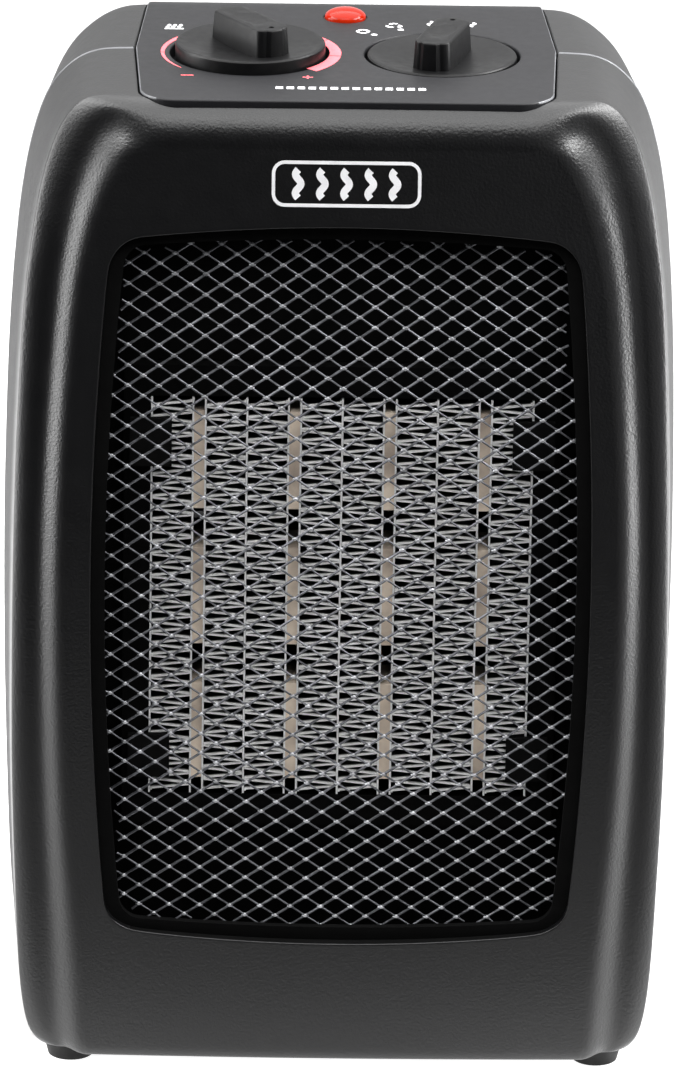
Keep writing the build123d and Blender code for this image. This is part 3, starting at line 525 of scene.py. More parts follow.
def opening_point(step):
    """Point of the opening's edge; step runs from 0 at the bottom middle to 5 at the top middle."""
    low = step < 2.5
    middle_z, corner_z, centre_z = OPEN_LOW_Z if low else OPEN_HIGH_Z
    share = step if low else 5 - step
    if share <= 1:
        return (share * OPEN_CORNER_X, middle_z + (corner_z - middle_z) * share * share)
    if share < 2:
        a = math.radians(90 * (step - (2 if low else 3)))
        return (OPEN_CORNER_X + OPEN_CORNER * math.cos(a), centre_z + OPEN_CORNER * math.sin(a))
    z = OPEN_LOW_Z[2] + (step - 2) * (OPEN_HIGH_Z[2] - OPEN_LOW_Z[2])
    return (OPEN_HALF - (z - OPEN_MID_Z) ** 2 / OPEN_BOW, z)


def between(a, b, share):
    """Point at a share of the way from a to b."""
    return tuple(p + (q - p) * share for p, q in zip(a, b))


def outwards(a, b, distance):
    """Point a moved towards b by a distance."""
    gap = math.dist(a, b)
    return between(a, b, distance / gap) if gap > 0 else a


def border_scale(z):
    """The hollow border is deeper round the top corners."""
    share = min(max((z - DEEPER_Z) / DEEPER_RUN, 0.0), 1.0)
    return 1.0 + DEEPER_BY * share * share * (3 - 2 * share)


def shell_column(row):
    """Points of one row of the front shell, from the opening's inner end to the joint."""
    step, edge, lip, joint, nose = row
    mouth = opening_point(step)
    column = []

    def on_face(spot, depth):
        x, z = spot
        return (x, face_y(x, z) + depth + under_round(z), z)

    reach = math.dist(mouth, edge)
    for distance, depth in OPENING_EDGE:
        column.append(on_face(outwards(mouth, edge, min(distance, 0.2 * reach)), depth))
    for share in FACE_STEPS:
        column.append(on_face(between(mouth, edge, share), 0.0))
    for distance, share in BEFORE_EDGE:
        column.append(on_face(outwards(edge, mouth, min(distance, share * reach)), 0.0))
    radius = TOP_Z - edge[1]
    nose_start = face_y(edge[0], edge[1])
    scale = border_scale(edge[1])
    for share, depth in BORDER:
        side = on_face(between(edge, lip, share), depth * scale)
        turn = share * math.pi / 2
        x = edge[0] + (lip[0] - edge[0]) * share
        rounded = (x, nose_start + radius * (1 - math.cos(turn)), edge[1] + radius * math.sin(turn))
        column.append(between(side, rounded, nose))
    lip_y = column[-1][1]
    for distance, depth in LIP:
        side_y = on_face(lip, depth * scale)[1]
        spot = outwards(lip, joint, distance)
        if math.dist(lip, joint) < distance:
            spot = joint
        nosed = (spot[0], lip_y + distance * 2, TOP_Z)
        column.append(between((spot[0], side_y, spot[1]), nosed, nose))
    start = column[-1]
    end = (joint[0], SEAM_Y - SEAM_GAP - JOINT_EDGE[-1][1], joint[1])
    column += [between(start, end, share) for share in SIDE_STEPS]
    middle_z = (BASE_Z + TOP_Z) / 2
    for inset, along in JOINT_EDGE:
        x = joint[0] * (1 - inset / JOINT_HALF[0])
        z = middle_z + (joint[1] - middle_z) * (1 - inset / JOINT_HALF[1])
        column.append((x, end[1] + along, z))
    return column


def make_front_shell():
    """Front half of the housing, with the walls of the grille's recess painted near black as painted shade.
    """
    right = [shell_column(row) for row in ROWS]
    left = [[(-x, y, z) for x, y, z in column] for column in reversed(right[1:-1])]
    shell = link_mesh("front_housing", *loft(right + left, closed=False, looped=True))
    face_out(shell)
    refine(shell, 2)
    thicken(shell, WALL)
    cut(shell, panel_opening())
    place(shell, HOUSING, ("front_shell",), sharp=50)

    # Painted shade: the opening's walls behind the face get the near-black material as if in shadow.
    def in_shaded_recess(face):
        x, y, z = face.center / MM
        return y > face_y(x, z) + 0.5 and inside_mesh(x, z, -0.3)

    paint(shell, FRAME_BLACK_AND_SHADE, in_shaded_recess)


def paint(obj, material, chosen):
    """Gives the chosen faces of a piece a second material."""
    obj.data.materials.append(material)
    for face in obj.data.polygons:
        if chosen(face):
            face.material_index = 1


def face_out(obj):
    """Turns an open skin so that it faces away from the middle of the heater."""
    middle = Vector((0, 0, (BASE_Z + TOP_Z) / 2)) * MM
    total = sum((f.center - middle).dot(f.normal) * f.area for f in obj.data.polygons)
    if total < 0:
        obj.data.flip_normals()


def panel_opening():
    """Cutter for the control panel's opening, flared at the surface."""
    levels = [(z, PANEL_GAP) for z in (226.0, TOP_Z - 0.35)]
    levels += [(z, PANEL_GAP + 0.4) for z in (TOP_Z + 0.05, TOP_Z + 8)]
    cutter = stacked("panel_cutter", levels, panel_plan)
    bend_rear(cutter)
    return cutter


# ---- rear shell
def rear_outline():
    """Outline at the joint, all the way round."""
    right = [row[3] for row in ROWS]
    return right + [(-x, z) for x, z in reversed(right[1:-1])]


def rear_ring(outline, y, inset=0.0):
    """The outline at depth y: narrower, lower under the rounded top, and drawn in by the inset."""
    reach = (y - SEAM_Y) / (REAR_Y - SEAM_Y)
    squeeze = 1 - REAR_SQUEEZE * max(reach, 0.0)
    lowered = inset * TOP_INSET_SHARE
    start = REAR_Y - BACK_RADIUS
    if y > start:
        drop = BACK_RADIUS - math.sqrt(max(BACK_RADIUS**2 - (y - start) ** 2, 0.0))
        lowered = max(drop, lowered)
    top = TOP_Z - lowered
    bottom = BASE_Z + inset
    ring = []
    run = min(max(y - SEAM_Y, 0.0) / SHOULDER_RUN, 1.0)
    for x, z in outline:
        shoulder = max(z - SHOULDER_Z, 0.0) / (TOP_Z - SHOULDER_Z)
        x *= 1 - SHOULDER_SQUEEZE * run * shoulder**1.5
        if z > REAR_TOP_FIXED_Z:
            share = (z - REAR_TOP_FIXED_Z) / (TOP_Z - REAR_TOP_FIXED_Z)
            z = REAR_TOP_FIXED_Z + share * (top - REAR_TOP_FIXED_Z)
        else:
            share = (REAR_TOP_FIXED_Z - z) / (REAR_TOP_FIXED_Z - BASE_Z)
            z = REAR_TOP_FIXED_Z - share * (REAR_TOP_FIXED_Z - bottom)
        ring.append((x * squeeze * (1 - inset / HALF_WIDTH), y, z))
    return ring


def slot_cutter(x, z, half_x, half_z, corner, front_y, tilt=0.0):
    """Rounded slot through the rear wall, flared at the surface; it can rise towards the outside."""
    rings = []
    for y, grow in ((front_y, 0.0), (REAR_Y - 0.45, 0.0), (REAR_Y + 0.05, 0.5), (REAR_Y + 6, 0.5)):
        plan = rounded_plan(half_x + grow, z - half_z - grow, z + half_z + grow, corner + grow, steps=5)
        rise = (y - REAR_Y + WALL / 2) * math.tan(math.radians(tilt))
        rings.append([(x + u, y, v + rise) for u, v in plan])
    return loft(rings)


def round_cutter(x, z, radius, front_y):
    """Round hole through the rear wall, flared at the surface."""
    wide = radius + 0.45
    rings = []
    for y, r in ((front_y, radius), (REAR_Y - 0.4, radius), (REAR_Y + 0.05, wide), (REAR_Y + 6, wide)):
        rings.append([(x + r * c, y, z + r * s) for c, s in circle(40)])
    return loft(rings)


def join_parts(name, parts):
    """One object from several separate forms."""
    points, faces = [], []
    for part_points, part_faces in parts:
        start = len(points)
        points += part_points
        faces += [tuple(i + start for i in face) for face in part_faces]
    return link_mesh(name, points, faces)


LOUVRES = {
    "columns": (-35.0, 0.0, 35.0), "half": 15.5, "rows": 21, "start": 70.0, "step": 5.2,
    "height": 1.7, "tilt": 34.0, "corner": 0.8, "front": REAR_Y - 5.0,
}
RECESS = {"half": 33.0, "front": 47.5, "low": 195.5, "high": 213.5}
RECESS_Z = (RECESS["low"] + RECESS["high"]) / 2
RECESS_HALF_Z = (RECESS["high"] - RECESS["low"]) / 2
SCREWS = [(x, z) for x in (-61.5, 61.5) for z in (23.0, 221.0)]
SCREW_HOLE = (3.5, 23.0)  # radius and how far forward it is cut
INLET = (36.0, 24.0)
INLET_HOLE = (7.0, 40.0)
PLUNGER_SPOT = (0.0, 24.0)
PLUNGER_HOLE = 4.1
EDGE_LOW_Z = 190.0  # the painted highlight on the seam's edge is laid on above this


def rear_skin():
    """The rear half of the housing before its wall and openings."""
    outline = rear_outline()
    first = SEAM_Y + SEAM_GAP
    rings = [rear_ring(outline, first + along, inset) for along, inset in SEAM_BEAD]
    rings += [rear_ring(outline, y) for y in (first + 1.6, 8.0, 18.0, 28.0, 36.5, 42.0, 47.5, 52.0, 55.5)]
    for share in (0.25, 0.5, 0.7, 0.85, 0.95, 1.0):
        y = REAR_Y - BACK_EDGE + BACK_EDGE * math.sin(share * math.pi / 2)
        inset = BACK_EDGE * (1 - math.cos(share * math.pi / 2))
        rings.append(rear_ring(outline, y, inset))
    middle = (0.0, REAR_Y, 110.0)
    last = rings[-1]
    for share in (0.04, 0.3, 0.6):
        rings.append([between(p, middle, share) for p in last])
    points, faces = loft(rings, caps=False)
    count = len(outline)
    faces.append(tuple(range((len(rings) - 1) * count, len(rings) * count)))
    return link_mesh("rear_housing", points, faces)


def recess_pocket():
    """Block behind the finger recess, which becomes its walls."""
    rings = []
    for y, grow in ((RECESS["front"] - 2.0, 1.0), (RECESS["front"] - 1.0, 2.2), (REAR_Y - 1.2, 2.2)):
        half = RECESS_HALF_Z + grow
        plan = rounded_plan(RECESS["half"] + grow, RECESS_Z - half, RECESS_Z + half, 6.0)
        rings.append([(u, y, v) for u, v in plan])
    return link_mesh("pocket", *loft(rings))


def rear_openings():
    """Cutters for the finger recess, the louvres, the screws and the cord's inlet."""
    cutters = [slot_cutter(0.0, RECESS_Z, RECESS["half"], RECESS_HALF_Z, 5.0, RECESS["front"])]
    for x in LOUVRES["columns"]:
        for row in range(LOUVRES["rows"]):
            z = LOUVRES["start"] + LOUVRES["step"] * row
            size = (LOUVRES["half"], LOUVRES["height"] / 2, LOUVRES["corner"])
            cutters.append(slot_cutter(x, z, *size, LOUVRES["front"], LOUVRES["tilt"]))
    cutters += [round_cutter(x, z, *SCREW_HOLE) for x, z in SCREWS]
    cutters.append(round_cutter(*INLET, *INLET_HOLE))
    return join_parts("rear_cutter", cutters)


def make_rear_shell():
    """Rear half of the housing with its openings."""
    shell = rear_skin()
    face_out(shell)
    refine(shell, 2)
    thicken(shell, WALL)
    add(shell, recess_pocket())
    cut(shell, panel_opening())
    cut(shell, rear_openings())
    hole = [(PLUNGER_HOLE, -1.0), (PLUNGER_HOLE, BASE_Z + 8.0)]
    cut(shell, turned("plunger_hole", hole, PLUNGER_SPOT, 48))
    place(shell, HOUSING, ("rear_shell",), sharp=40)

    # Painted highlight along the top of the seam's edge.
    def seam_highlight_faces(face):
        spot = face.center / MM
        return spot.y < SEAM_Y + SEAM_GAP + 0.55 and spot.z > EDGE_LOW_Z

    paint(shell, EDGE_HIGHLIGHT, seam_highlight_faces)


def make_screw_sleeves():
    """Sunk sleeves that hold the screws' heads in the rear shell."""
    parts = []
    for x, z in SCREWS:
        rings = []
        end = REAR_Y - 2.0 if z < REAR_TOP_FIXED_Z else REAR_Y - 11.0
        for radius, y in ((4.6, end), (4.6, 20.0), (1.9, 20.0), (1.9, 21.9), (3.45, 21.9), (3.45, end)):
            rings.append([(x + radius * c, y, z + radius * s) for c, s in circle(40)])
        parts.append(loft(rings, looped=True))
    place(join_parts("screw_sleeves", parts), HOUSING)


# ---- grille
def inside_mesh(x, z, inset):
    """Whether a point lies inside the grille's outline."""
    x = abs(x)
    side = OPEN_HALF - (z - OPEN_MID_Z) ** 2 / OPEN_BOW - inset - x
    share = (x / OPEN_CORNER_X) ** 2
    low = z - (OPEN_LOW_Z[0] + (OPEN_LOW_Z[1] - OPEN_LOW_Z[0]) * share) - inset
    high = OPEN_HIGH_Z[0] + (OPEN_HIGH_Z[1] - OPEN_HIGH_Z[0]) * share - inset - z
    rise = min(low, high)
    corner = OPEN_CORNER - inset * 0.4
    if side < 0 or rise < 0:
        return False
    if side < corner and rise < corner:
        return math.hypot(corner - side, corner - rise) < corner
    return True


def strand(start, end, tilt):
    """One flat strand between two points, turned about its own length."""
    a, b = Vector(start), Vector(end)
    along = (b - a).normalized()
    across = along.cross(Vector((0, -1, 0))).normalized()
    if across.z < 0:
        across.negate()
    out = across.cross(along)
    if out.y > 0:
        out.negate()
    wide_axis = across * math.cos(tilt) + out * math.sin(tilt)
    thick_axis = wide_axis.cross(along)
    rings = []
    for point in (a, b):
        ring = []
        for u, v in STRAND_SECTION:
            ring.append(tuple(point + wide_axis * (u * STRAND_WIDE) + thick_axis * (v * STRAND_THICK)))
        rings.append(ring)
    return loft(rings)


def knuckle(spot):
    """Small flattened lump where strands meet."""
    x, y, z = spot
    wide, high, deep = KNUCKLE_SIZE
    rings = []
    for share, depth in ((0.55, -deep), (1.0, 0.0), (0.55, deep)):
        rings.append([(x + share * wide * c, y + depth, z + share * high * s) for c, s in circle(8)])
    return loft(rings)


def make_grille():
    """Expanded metal sheet: strands between offset rows of knuckles, cut off at the border."""
    half_w, half_h = CELL[0] / 2, CELL[1] / 2
    columns = math.ceil(OPEN_HALF / half_w)
    rows = math.ceil((OPEN_HIGH_Z[0] - OPEN_LOW_Z[0]) / 2 / half_h)
    knuckles, strands = [], []

    def sheet_point(x, z, out=0.0):
        return (x, face_y(x, z) + MESH_DEPTH - out, z)

    def in_sheet(x, z):
        return inside_mesh(x, z + (MESH_LOWER if z < OPEN_MID_Z else 0.0), MESH_INSET)

    for i in range(-columns, columns + 1):
        for k in range(-rows, rows + 1):
            if (i + k) % 2:
                continue
            x, z = i * half_w, OPEN_MID_Z + k * half_h
            here = in_sheet(x, z)
            if here:
                knuckles.append(knuckle(sheet_point(x, z)))
            for lift, tilt in STRAND_TILTS:
                x2, z2 = x + half_w, z + lift * half_h
                there = in_sheet(x2, z2)
                if not here and not there:
                    continue
                start, end = (x, z), (x2, z2)
                start_out, end_out = 0.0, 0.0
                bend = random.uniform(-STRAND_BEND, STRAND_BEND)
                reach = random.uniform(*STRAND_REACH)
                if not there:
                    end = between(start, end, reach)
                    end = (end[0], end[1] + bend)
                    end_out = abs(bend)
                if not here:
                    start = between(end, start, reach)
                    start = (start[0], start[1] + bend)
                    start_out = abs(bend)
                twist = math.radians(tilt) + math.radians(random.uniform(-STRAND_WOBBLE, STRAND_WOBBLE))
                strands.append(strand(sheet_point(*start, start_out), sheet_point(*end, end_out), twist))
    grille = join_parts("grille_sheet", knuckles + strands)
    place(grille, GRILLE, ("front_grille",), sharp=30)
    glint_faces = sum(len(lump[1]) for lump in knuckles)
    # Painted highlight: the knuckles get the paler glint material.
    paint(grille, KNUCKLE_GLINT, lambda face: face.index < glint_faces)


# ---- control panel
PANEL_RIM = [(5.5, 0.0), (0.5, 0.0), (0.22, -0.08), (0.06, -0.26), (0.0, -0.6)]  # depth below the top, growth
PANEL_WALL = 2.2
# Mouths of the wells and of the lens's seat: outwards from the radius, and up from the top.
WELL_MOUTH = [(0.0, -0.55), (0.12, -0.2), (0.35, -0.03), (0.7, 0.02), (0.7, 3.0)]
SEAT_MOUTH = [(0.25, -0.3), (0.3, -0.1), (0.45, 0.02), (0.45, 2.0)]
SEAT_HOLE = 4.05
BUSH_HOLE = 4.5
RIM_HALF_X = 45.0  # the panel's rim gets a painted highlight beyond this


def make_panel():
    """Control panel with its wells and the lens's seat."""
    panel = stacked("top_panel", [(PANEL_Z - down, grow) for down, grow in PANEL_RIM], panel_plan)
    inside = [(z, -PANEL_WALL) for z in (PANEL_Z - 7.0, PANEL_Z - PANEL_THICK)]
    cut(panel, stacked("panel_inside", inside, panel_plan))
    for knob in KNOBS.values():
        spot, radius = knob["spot"], knob["well"]
        cup = [(radius + 2.0, CUP_Z), (radius + 2.0, PANEL_Z - PANEL_THICK + 0.5)]
        add(panel, turned("cup", cup, spot))
        well = [(radius - 0.5, WELL_Z), (radius, WELL_Z + 0.5)]
        well += [(radius + out, PANEL_Z + up) for out, up in WELL_MOUTH]
        cut(panel, turned("well", well, spot))
        cut(panel, turned("bush", [(BUSH_HOLE, CUP_Z - 1), (BUSH_HOLE, WELL_Z + 1)], spot))
    seat = [(SEAT_HOLE, PANEL_Z - 10), (SEAT_HOLE, PANEL_Z - 0.3)]
    seat += [(LENS_RADIUS + out, PANEL_Z + up) for out, up in SEAT_MOUTH]
    cut(panel, turned("seat", seat, LENS_SPOT, 64))
    bend_rear(panel)
    place(panel, PANEL, ("control_panel",), sharp=35)

    # Painted highlight on the sloped rim faces towards the panel's sides.
    def rim_highlight_faces(face):
        spot = face.center / MM
        clear = all(math.dist(knob["spot"], spot[:2]) > knob["well"] + 1.2 for knob in KNOBS.values())
        return clear and abs(spot.x) > RIM_HALF_X and spot.z > PANEL_Z - 0.5 and 0.2 < face.normal.z < 0.97

    paint(panel, EDGE_HIGHLIGHT, rim_highlight_faces)


# Dial: inwards from its radius, and up from its lower edge or from its rim.
DIAL_FOOT = [(1.2, 0.0), (0.3, 0.1), (0.0, 0.4)]
DIAL_RIM = [(0.0, -0.75), (0.1, -0.35), (0.4, -0.07), (0.85, 0.0), (1.5, -0.12)]
DIAL_DISH = 1.5
GRIP_HALF = 12.0
GRIP_WIDE = 4.3
GRIP_CORNER = 2.0
GRIP_BOW = 1.0
GRIP_DRAFT = 0.35
GRIP_TOP = [(0.6, 0.0), (0.3, -0.06), (0.1, -0.22), (0.0, -0.45)]  # depth below its top, growth
THUMB_HOLLOW = (6.0, 0.28, 0.52)  # radius, depth, and how narrow it is
DOT = [(0.35, -0.5), (0.6, -0.4), (0.72, 0.02), (0.78, 0.4)]  # pointer's dot: radius, height from the top
HUB_HOLE = 2.95


def grip_plan(grow):
    """Plan of the finger bar: straight sides and slightly bowed ends."""
    points = []
    half_x, half_y = GRIP_HALF + grow, GRIP_WIDE + grow
    corners = [(1, 1, 0), (-1, 1, 90), (-1, -1, 180), (1, -1, 270)]
    for sx, sy, start in corners:
        cx = sx * (half_x - GRIP_BOW - GRIP_CORNER)
        cy = sy * (half_y - GRIP_CORNER)
        for i in range(7):
            a = math.radians(start + 90 * i / 6)
            points.append((cx + GRIP_CORNER * math.cos(a), cy + GRIP_CORNER * math.sin(a)))
        if sx == sy:
            continue
        for i in range(1, 6):
            v = (half_y - GRIP_CORNER) * (1 - 2 * i / 6) * -sx
            bow = GRIP_BOW * (1 - (v / half_y) ** 2)
            points.append((sx * (half_x - GRIP_BOW) + sx * bow, v))
    return points


def dial_profile(rim):
    """Section of a dial, up to the middle of its dished top."""
    profile = [(KNOB_RADIUS - inset, KNOB_LOW_Z + up) for inset, up in DIAL_FOOT]
    profile += [(KNOB_RADIUS - inset, rim + up) for inset, up in DIAL_RIM]
    for i in range(1, 9):
        share = i / 9
        radius = (KNOB_RADIUS - 1.6) * (1 - share) + 0.2
        profile.append((radius, rim - 0.14 - DIAL_DISH * math.sin(share * math.pi / 2)))
    return profile


def thumb_hollow(top):
    """Cutter for the shallow hollow in the finger bar's top."""
    radius, depth, narrow = THUMB_HOLLOW
    hollow = []
    for share in range(7):
        a = share / 6 * math.pi / 2
        hollow.append((0.05 + radius * math.sin(a), top - depth * math.cos(a)))
    hollow.append((radius + 0.1, top + 1))
    cutter = turned("thumb", hollow, (0, 0), 64)
    for vertex in cutter.data.vertices:
        vertex.co.y *= narrow
    return cutter


def make_knob(name):
    """Dished dial with a finger bar, at its rest angle."""
    knob = KNOBS[name]
    rim = PANEL_Z + knob["rim"]
    top = PANEL_Z + knob["grip"]
    disc = turned(f"{name}_dial", dial_profile(rim), (0, 0), 128)
    levels = [(z, GRIP_DRAFT) for z in (KNOB_LOW_Z + 0.6, rim - 1.35, rim - 1.2)]
    levels += [(top - down, grow) for down, grow in GRIP_TOP]
    add(disc, stacked("grip", levels, grip_plan))
    cut(disc, thumb_hollow(top))
    cut(disc, turned("dot", [(radius, top + up) for radius, up in DOT], (GRIP_HALF - 2.6, 0), 24))
    cut(disc, turned("hub", [(HUB_HOLE, KNOB_LOW_Z - 1), (HUB_HOLE, top - 2.4)], (0, 0), 48))
    turn = Matrix.Rotation(math.radians(knob["angle"]), 4, "Z")
    shift = Matrix.Translation(Vector((*knob["spot"], 0.0)) * MM)
    disc.data.transform(shift @ turn)
    place(disc, KNOB, (f"{name}_knob",), sharp=30, body=f"{name}_dial")


def make_lens():
    """Red dome on a stem."""
    foot = PANEL_Z - 9.0
    profile = [(0.4, foot), (LENS_STEM, foot), (LENS_STEM, PANEL_Z - 0.6), (LENS_STEM, PANEL_Z - 0.2)]
    profile += [(LENS_RADIUS, PANEL_Z - 0.2), (LENS_RADIUS, PANEL_Z + 0.15)]
    for i in range(1, 13):
        a = i / 12 * math.pi / 2 * 0.97
        profile.append((LENS_RADIUS * math.cos(a), PANEL_Z + 0.15 + (LENS_HEIGHT - 0.15) * math.sin(a)))
    lens = turned("pilot_lens", profile, LENS_SPOT, 64)
    place(lens, LENS, ("indicator_lens",), sharp=40)


# ---- printed marks
PRINT_THICK = 0.04


def on_panel(u, v, lift):
    """Point on the control panel."""
    return (u, v, PANEL_Z - 0.01 + lift)


def on_front(u, v, lift):
    """Point on the front face."""
    return (u, face_y(u, v) + 0.01 - lift, v)


def print_strip(path, widths, to_surface=on_panel, closed=False):
    """A printed line of given widths along a flat path, laid on a surface."""
    rings = []
    count = len(path)
    for i, (u, v) in enumerate(path):
        before = path[(i - 1) % count] if closed or i > 0 else path[i]
        after = path[(i + 1) % count] if closed or i < count - 1 else path[i]
        du, dv = after[0] - before[0], after[1] - before[1]
        half = widths[i] / 2 / (math.hypot(du, dv) or 1.0)
        left, right = (u - dv * half, v + du * half), (u + dv * half, v - du * half)
        around = ((left, 0.0), (left, PRINT_THICK), (right, PRINT_THICK), (right, 0.0))
        rings.append([to_surface(*side, lift) for side, lift in around])
    return loft(rings, looped=closed)


def print_line(path, width, to_surface=on_panel, closed=False):
    """A printed line of one width."""
    return print_strip(path, [width] * len(path), to_surface, closed)


def print_dot(spot, radius):
    """A printed round dot on the control panel."""
    rings = []
    for lift in (0.0, PRINT_THICK):
        rings.append([on_panel(spot[0] + radius * c, spot[1] + radius * s, lift) for c, s in circle(20)])
    return loft(rings)


def heat_wave(u, v, length, swing, turns, steps=24):
    """Points of an upright wavy line, centred on a spot."""
    points = []
    for i in range(steps + 1):
        share = i / steps
        points.append((u - swing * math.sin(2 * math.pi * turns * share), v + length * (share - 0.5)))
    return points


def polar(spot, radius, angle):
    """Point at a radius and an angle in degrees from a spot."""
    a = math.radians(angle)
    return (spot[0] + radius * math.cos(a), spot[1] + radius * math.sin(a))


def arc_path(spot, radius, start, end, steps=20):
    """Points of an arc between two angles in degrees."""
    return [polar(spot, radius, start + (end - start) * i / steps) for i in range(steps + 1)]


def fine(path, longest=2.0):
    """The same path with points added along its longer runs."""
    points = []
    for a, b in zip(path, path[1:] + path[:1]):
        count = max(1, math.ceil(math.dist(a, b) / longest))
        points += [between(a, b, i / count) for i in range(count)]
    return points


BADGE = {"z": 222.8, "half": (17.2, 5.0), "corner": 2.6, "line": 0.8, "pitch": 5.7, "wave": (6.6, 0.65, 1.5)}
BADGE_WAVE_WIDTH = 1.7
ARC = {"start": -44.0, "end": 220.0, "segments": 7, "gap": 0.5, "radius": 21.9, "width": 3.0, "thin": 0.12}
ARC_SIGNS = [(-56.0, 24.5, 1.25, True), (233.0, 24.8, 1.5, False)]  # angle, radius, half-length, crossed
SIGN_WIDTH = 0.5
BLOCKS = {"count": 14, "start": -16.9, "step": 2.6, "length": 1.7, "width": 1.9, "y": -31.2}
SETTINGS = (135.0, 115.0, 95.0, 75.0)  # angles of the mode knob's settings
SETTING_DOT = 0.75
DOT_RING = 22.8
SIGN_RING = 26.6
HEAT_SIGN = (-41.5, 19.4)


def make_badge():
    """Plain badge on the front: a rounded outline with five heat waves in it."""
    half_x, half_z = BADGE["half"]
    plan = rounded_plan(half_x, BADGE["z"] - half_z, BADGE["z"] + half_z, BADGE["corner"], 6)
    parts = [print_line(fine(plan), BADGE["line"], on_front, closed=True)]
    for i in range(-2, 3):
        path = heat_wave(BADGE["pitch"] * i, BADGE["z"], *BADGE["wave"])
        parts.append(print_line(path, BADGE_WAVE_WIDTH, on_front))
    place(join_parts("badge_print", parts), PRINT_WHITE)


def make_dial_arc():
    """Crescent round the thermostat knob, widest at its hot end, in segments."""
    spot = KNOBS["thermostat"]["spot"]
    start, span = ARC["start"], ARC["end"] - ARC["start"]
    parts = []
    for index in range(ARC["segments"]):
        low = start + span * index / ARC["segments"] + (ARC["gap"] if index else 0.0)
        high = start + span * (index + 1) / ARC["segments"] - ARC["gap"]
        path, widths = [], []
        for i in range(13):
            angle = low + (high - low) * i / 12
            share = (angle - start) / span
            wide = ARC["width"] * (1 - share) ** 0.7 + ARC["thin"]
            path.append(polar(spot, ARC["radius"] - wide / 2 - 0.5 * share, angle))
            widths.append(wide)
        parts.append(print_strip(path, widths))
    for angle, radius, half, crossed in ARC_SIGNS:
        u, v = polar(spot, radius, angle)
        parts.append(print_line([(u - half, v), (u + half, v)], SIGN_WIDTH))
        if crossed:
            parts.append(print_line([(u, v - half), (u, v + half)], SIGN_WIDTH))
    place(join_parts("dial_print", parts), PRINT_RED)


def make_panel_marks():
    """White marks: a row of blocks in front of the knobs, settings of the mode knob, a heat sign."""
    parts = []
    for i in range(BLOCKS["count"]):
        u, v = BLOCKS["start"] + BLOCKS["step"] * i, BLOCKS["y"]
        parts.append(print_line([(u, v), (u + BLOCKS["length"], v)], BLOCKS["width"]))
    spot = KNOBS["mode"]["spot"]
    parts += [print_dot(polar(spot, DOT_RING, angle), SETTING_DOT) for angle in SETTINGS]
    off, fan, low, high = [polar(spot, SIGN_RING, angle) for angle in SETTINGS]
    parts.append(print_line(arc_path(off, 1.35, 0, 342), 0.65, closed=True))
    for turn in (90, 210, 330):
        petal = arc_path(polar(fan, 1.0, turn), 0.8, turn - 60, turn + 110, 10)
        parts.append(print_line(petal, 0.8))
    for (u, v), offsets in ((low, (0.0,)), (high, (-1.0, 1.0))):
        parts += [print_line(heat_wave(u + du, v, 3.4, 0.6, 1.0, 12), 0.7) for du in offsets]
    u, v = HEAT_SIGN
    parts += [print_line(heat_wave(u + du, v, 2.8, 0.35, 1.0, 12), 0.65) for du in (-1.4, 0.0, 1.4)]
    parts.append(print_line([(u - 2.3, v - 2.2), (u + 2.3, v - 2.2)], 0.8))
    place(join_parts("panel_print", parts), PRINT_WHITE)


# ---- stage, lights and camera
CAMERA_DISTANCE = 2.0
CAMERA_ELEVATION = 19.85
CAMERA_ROLL = 0.92
CAMERA_AZIMUTH = -0.7
CAMERA_TARGET = (0.0, -0.020, 0.1251)
CAMERA_SCALE = 4124.0  # picture pixels per metre at the target
PICTURE = (679, 1067)
SENSOR = 36.0
STAGE_HALF = 2.2
STAGE_DEPTHS = (-0.45, 0.0, 1.2, 2.4)
# Strip of the floor with painted light, a glow that hides the heater's shadow seen under the base:
# millimetres where it comes up and fades out.
GLOW_IN = (-84.0, -70.0)
GLOW_OUT = (-46.0, -38.0)
# Area lights: place, what it points at, size in metres, power in watts.
LIGHTS = {
    "side_left": ((-0.75, 0.05, 0.24), (0.0, 0.0, 0.1), (0.5, 0.46), 6.5),
    "side_right": ((0.6, 0.08, 0.1), (0.0, 0.0, 0.08), (0.5, 0.28), 6.0),
    "backdrop": ((0.0, 1.9, 1.15), (0.0, 0.0, 1.15), (4.4, 2.3), 27.0),
    "overhead": ((0.0, 0.5, 1.5), (0.0, 0.5, 0.0), (3.0, 2.2), 83.0),
    "front_high": ((0.0, -1.2, 1.95), (0.0, 0.0, 0.12), (1.6, 1.0), 23.0),
    "front_right": ((0.6, -0.75, 0.15), (0.0, 0.0, 0.12), (1.0, 0.5), 0.5),
    "floor_left": ((-0.3, -0.02, 0.45), (-0.3, -0.02, 0.0), (0.2, 0.3), 2.0),
    "floor_right": ((0.3, -0.02, 0.45), (0.3, -0.02, 0.0), (0.2, 0.3), 4.5),
}
WORLD_LIGHT = ((0.9, 0.93, 1.0, 1.0), 0.03)  # what lights the scene: colour, strength
WORLD_SEEN = ((1.0, 1.0, 1.0, 1.0), 1.0)  # what the camera sees behind it


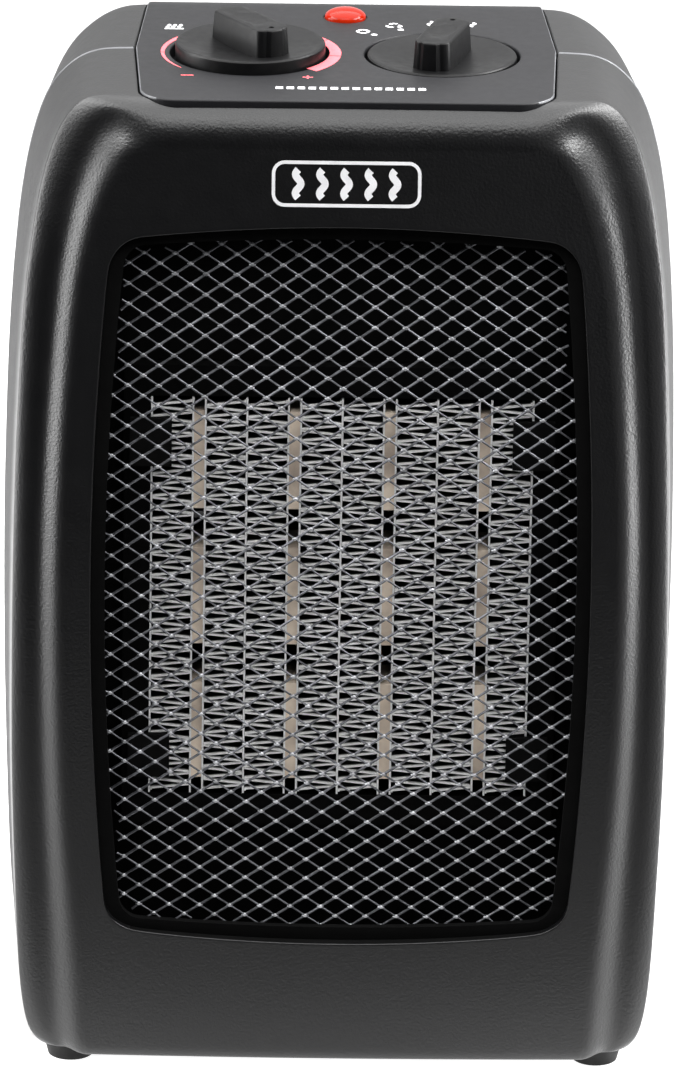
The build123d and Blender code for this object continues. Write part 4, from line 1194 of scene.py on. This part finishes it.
def make_camera():
    """Long lens at the height and tilt that the proportions call for."""
    data = bpy.data.cameras.new("camera")
    data.sensor_width = SENSOR
    data.lens = CAMERA_SCALE * CAMERA_DISTANCE * SENSOR / PICTURE[1]
    data.clip_end = 20.0
    camera = bpy.data.objects.new("camera", data)
    bpy.context.scene.collection.objects.link(camera)
    lift = math.radians(CAMERA_ELEVATION)
    aside = Matrix.Rotation(math.radians(CAMERA_AZIMUTH), 4, "Z")
    back = aside @ Vector((0.0, -math.cos(lift), math.sin(lift)))
    turn = Matrix.Rotation(math.pi / 2 - lift, 4, "X") @ Matrix.Rotation(math.radians(CAMERA_ROLL), 4, "Z")
    camera.matrix_world = Matrix.Translation(Vector(CAMERA_TARGET) + back * CAMERA_DISTANCE) @ aside @ turn
    bpy.context.scene.camera = camera


def make_stage():
    """White floor that darkens and stops short in front of the heater, with a glowing strip of painted light
    over the heater's shadow under its base.
    """
    rings = []
    for x in (-STAGE_HALF, STAGE_HALF):
        rings.append([(x / MM, y / MM, 0.0) for y in STAGE_DEPTHS])
    stage = link_mesh("stage", *loft(rings, closed=False, caps=False))
    stage.data.shade_smooth()
    material = finish(
        "stage_white", (196, 196, 196), 0.7, (400, 0.1, 0.05), (3, 0.01),
        fade=(-150.0, -75.0, 0.26, 1.0), Emission_Color=(1.0, 1.0, 1.0, 1.0),
    )
    nodes, links = material.node_tree.nodes, material.node_tree.links
    place_node = nodes["Texture Coordinate"]
    # Painted light: emission on the floor under the front edge washes out the heater's shadow there.
    glow = nodes.new("ShaderNodeMath")
    glow.operation = "MULTIPLY"
    links.new(along_depth(nodes, links, place_node, *GLOW_IN, 0.0, 1.0), glow.inputs[0])
    links.new(along_depth(nodes, links, place_node, *GLOW_OUT, 1.0, 0.0), glow.inputs[1])
    links.new(glow.outputs["Value"], nodes["Principled BSDF"].inputs["Emission Strength"])
    stage.data.materials.append(material)


def soft_box(name, spot, aim, size, power):
    """Area light that the camera doesn't see."""
    data = bpy.data.lights.new(name, "AREA")
    data.shape = "RECTANGLE"
    data.size, data.size_y = size
    data.energy = power
    light = bpy.data.objects.new(name, data)
    bpy.context.scene.collection.objects.link(light)
    light.location = spot
    light.rotation_euler = (Vector(aim) - Vector(spot)).to_track_quat("-Z", "Z").to_euler()
    light.visible_camera = False


def make_world():
    """Dim light from all round, and plain white behind everything."""
    world = bpy.data.worlds.new("studio")
    bpy.context.scene.world = world
    world.use_nodes = True
    nodes, links = world.node_tree.nodes, world.node_tree.links
    mix = nodes.new("ShaderNodeMixShader")
    path = nodes.new("ShaderNodeLightPath")
    links.new(path.outputs["Is Camera Ray"], mix.inputs["Fac"])
    backgrounds = (nodes["Background"], nodes.new("ShaderNodeBackground"))
    for index, (colour, strength) in enumerate((WORLD_LIGHT, WORLD_SEEN)):
        background = backgrounds[index]
        background.inputs["Color"].default_value = colour
        background.inputs["Strength"].default_value = strength
        links.new(background.outputs["Background"], mix.inputs[index + 1])
    links.new(mix.outputs["Shader"], nodes["World Output"].inputs["Surface"])
    bpy.context.scene.view_settings.view_transform = "Standard"


make_camera()
make_stage()
for light_name, light in LIGHTS.items():
    soft_box(light_name, *light)
make_world()
finish_cad_nodes()
make_front_shell()
make_rear_shell()
make_screw_sleeves()
make_grille()
make_panel()
make_knob("thermostat")
make_knob("mode")
make_lens()
make_badge()
make_dial_arc()
make_panel_marks()
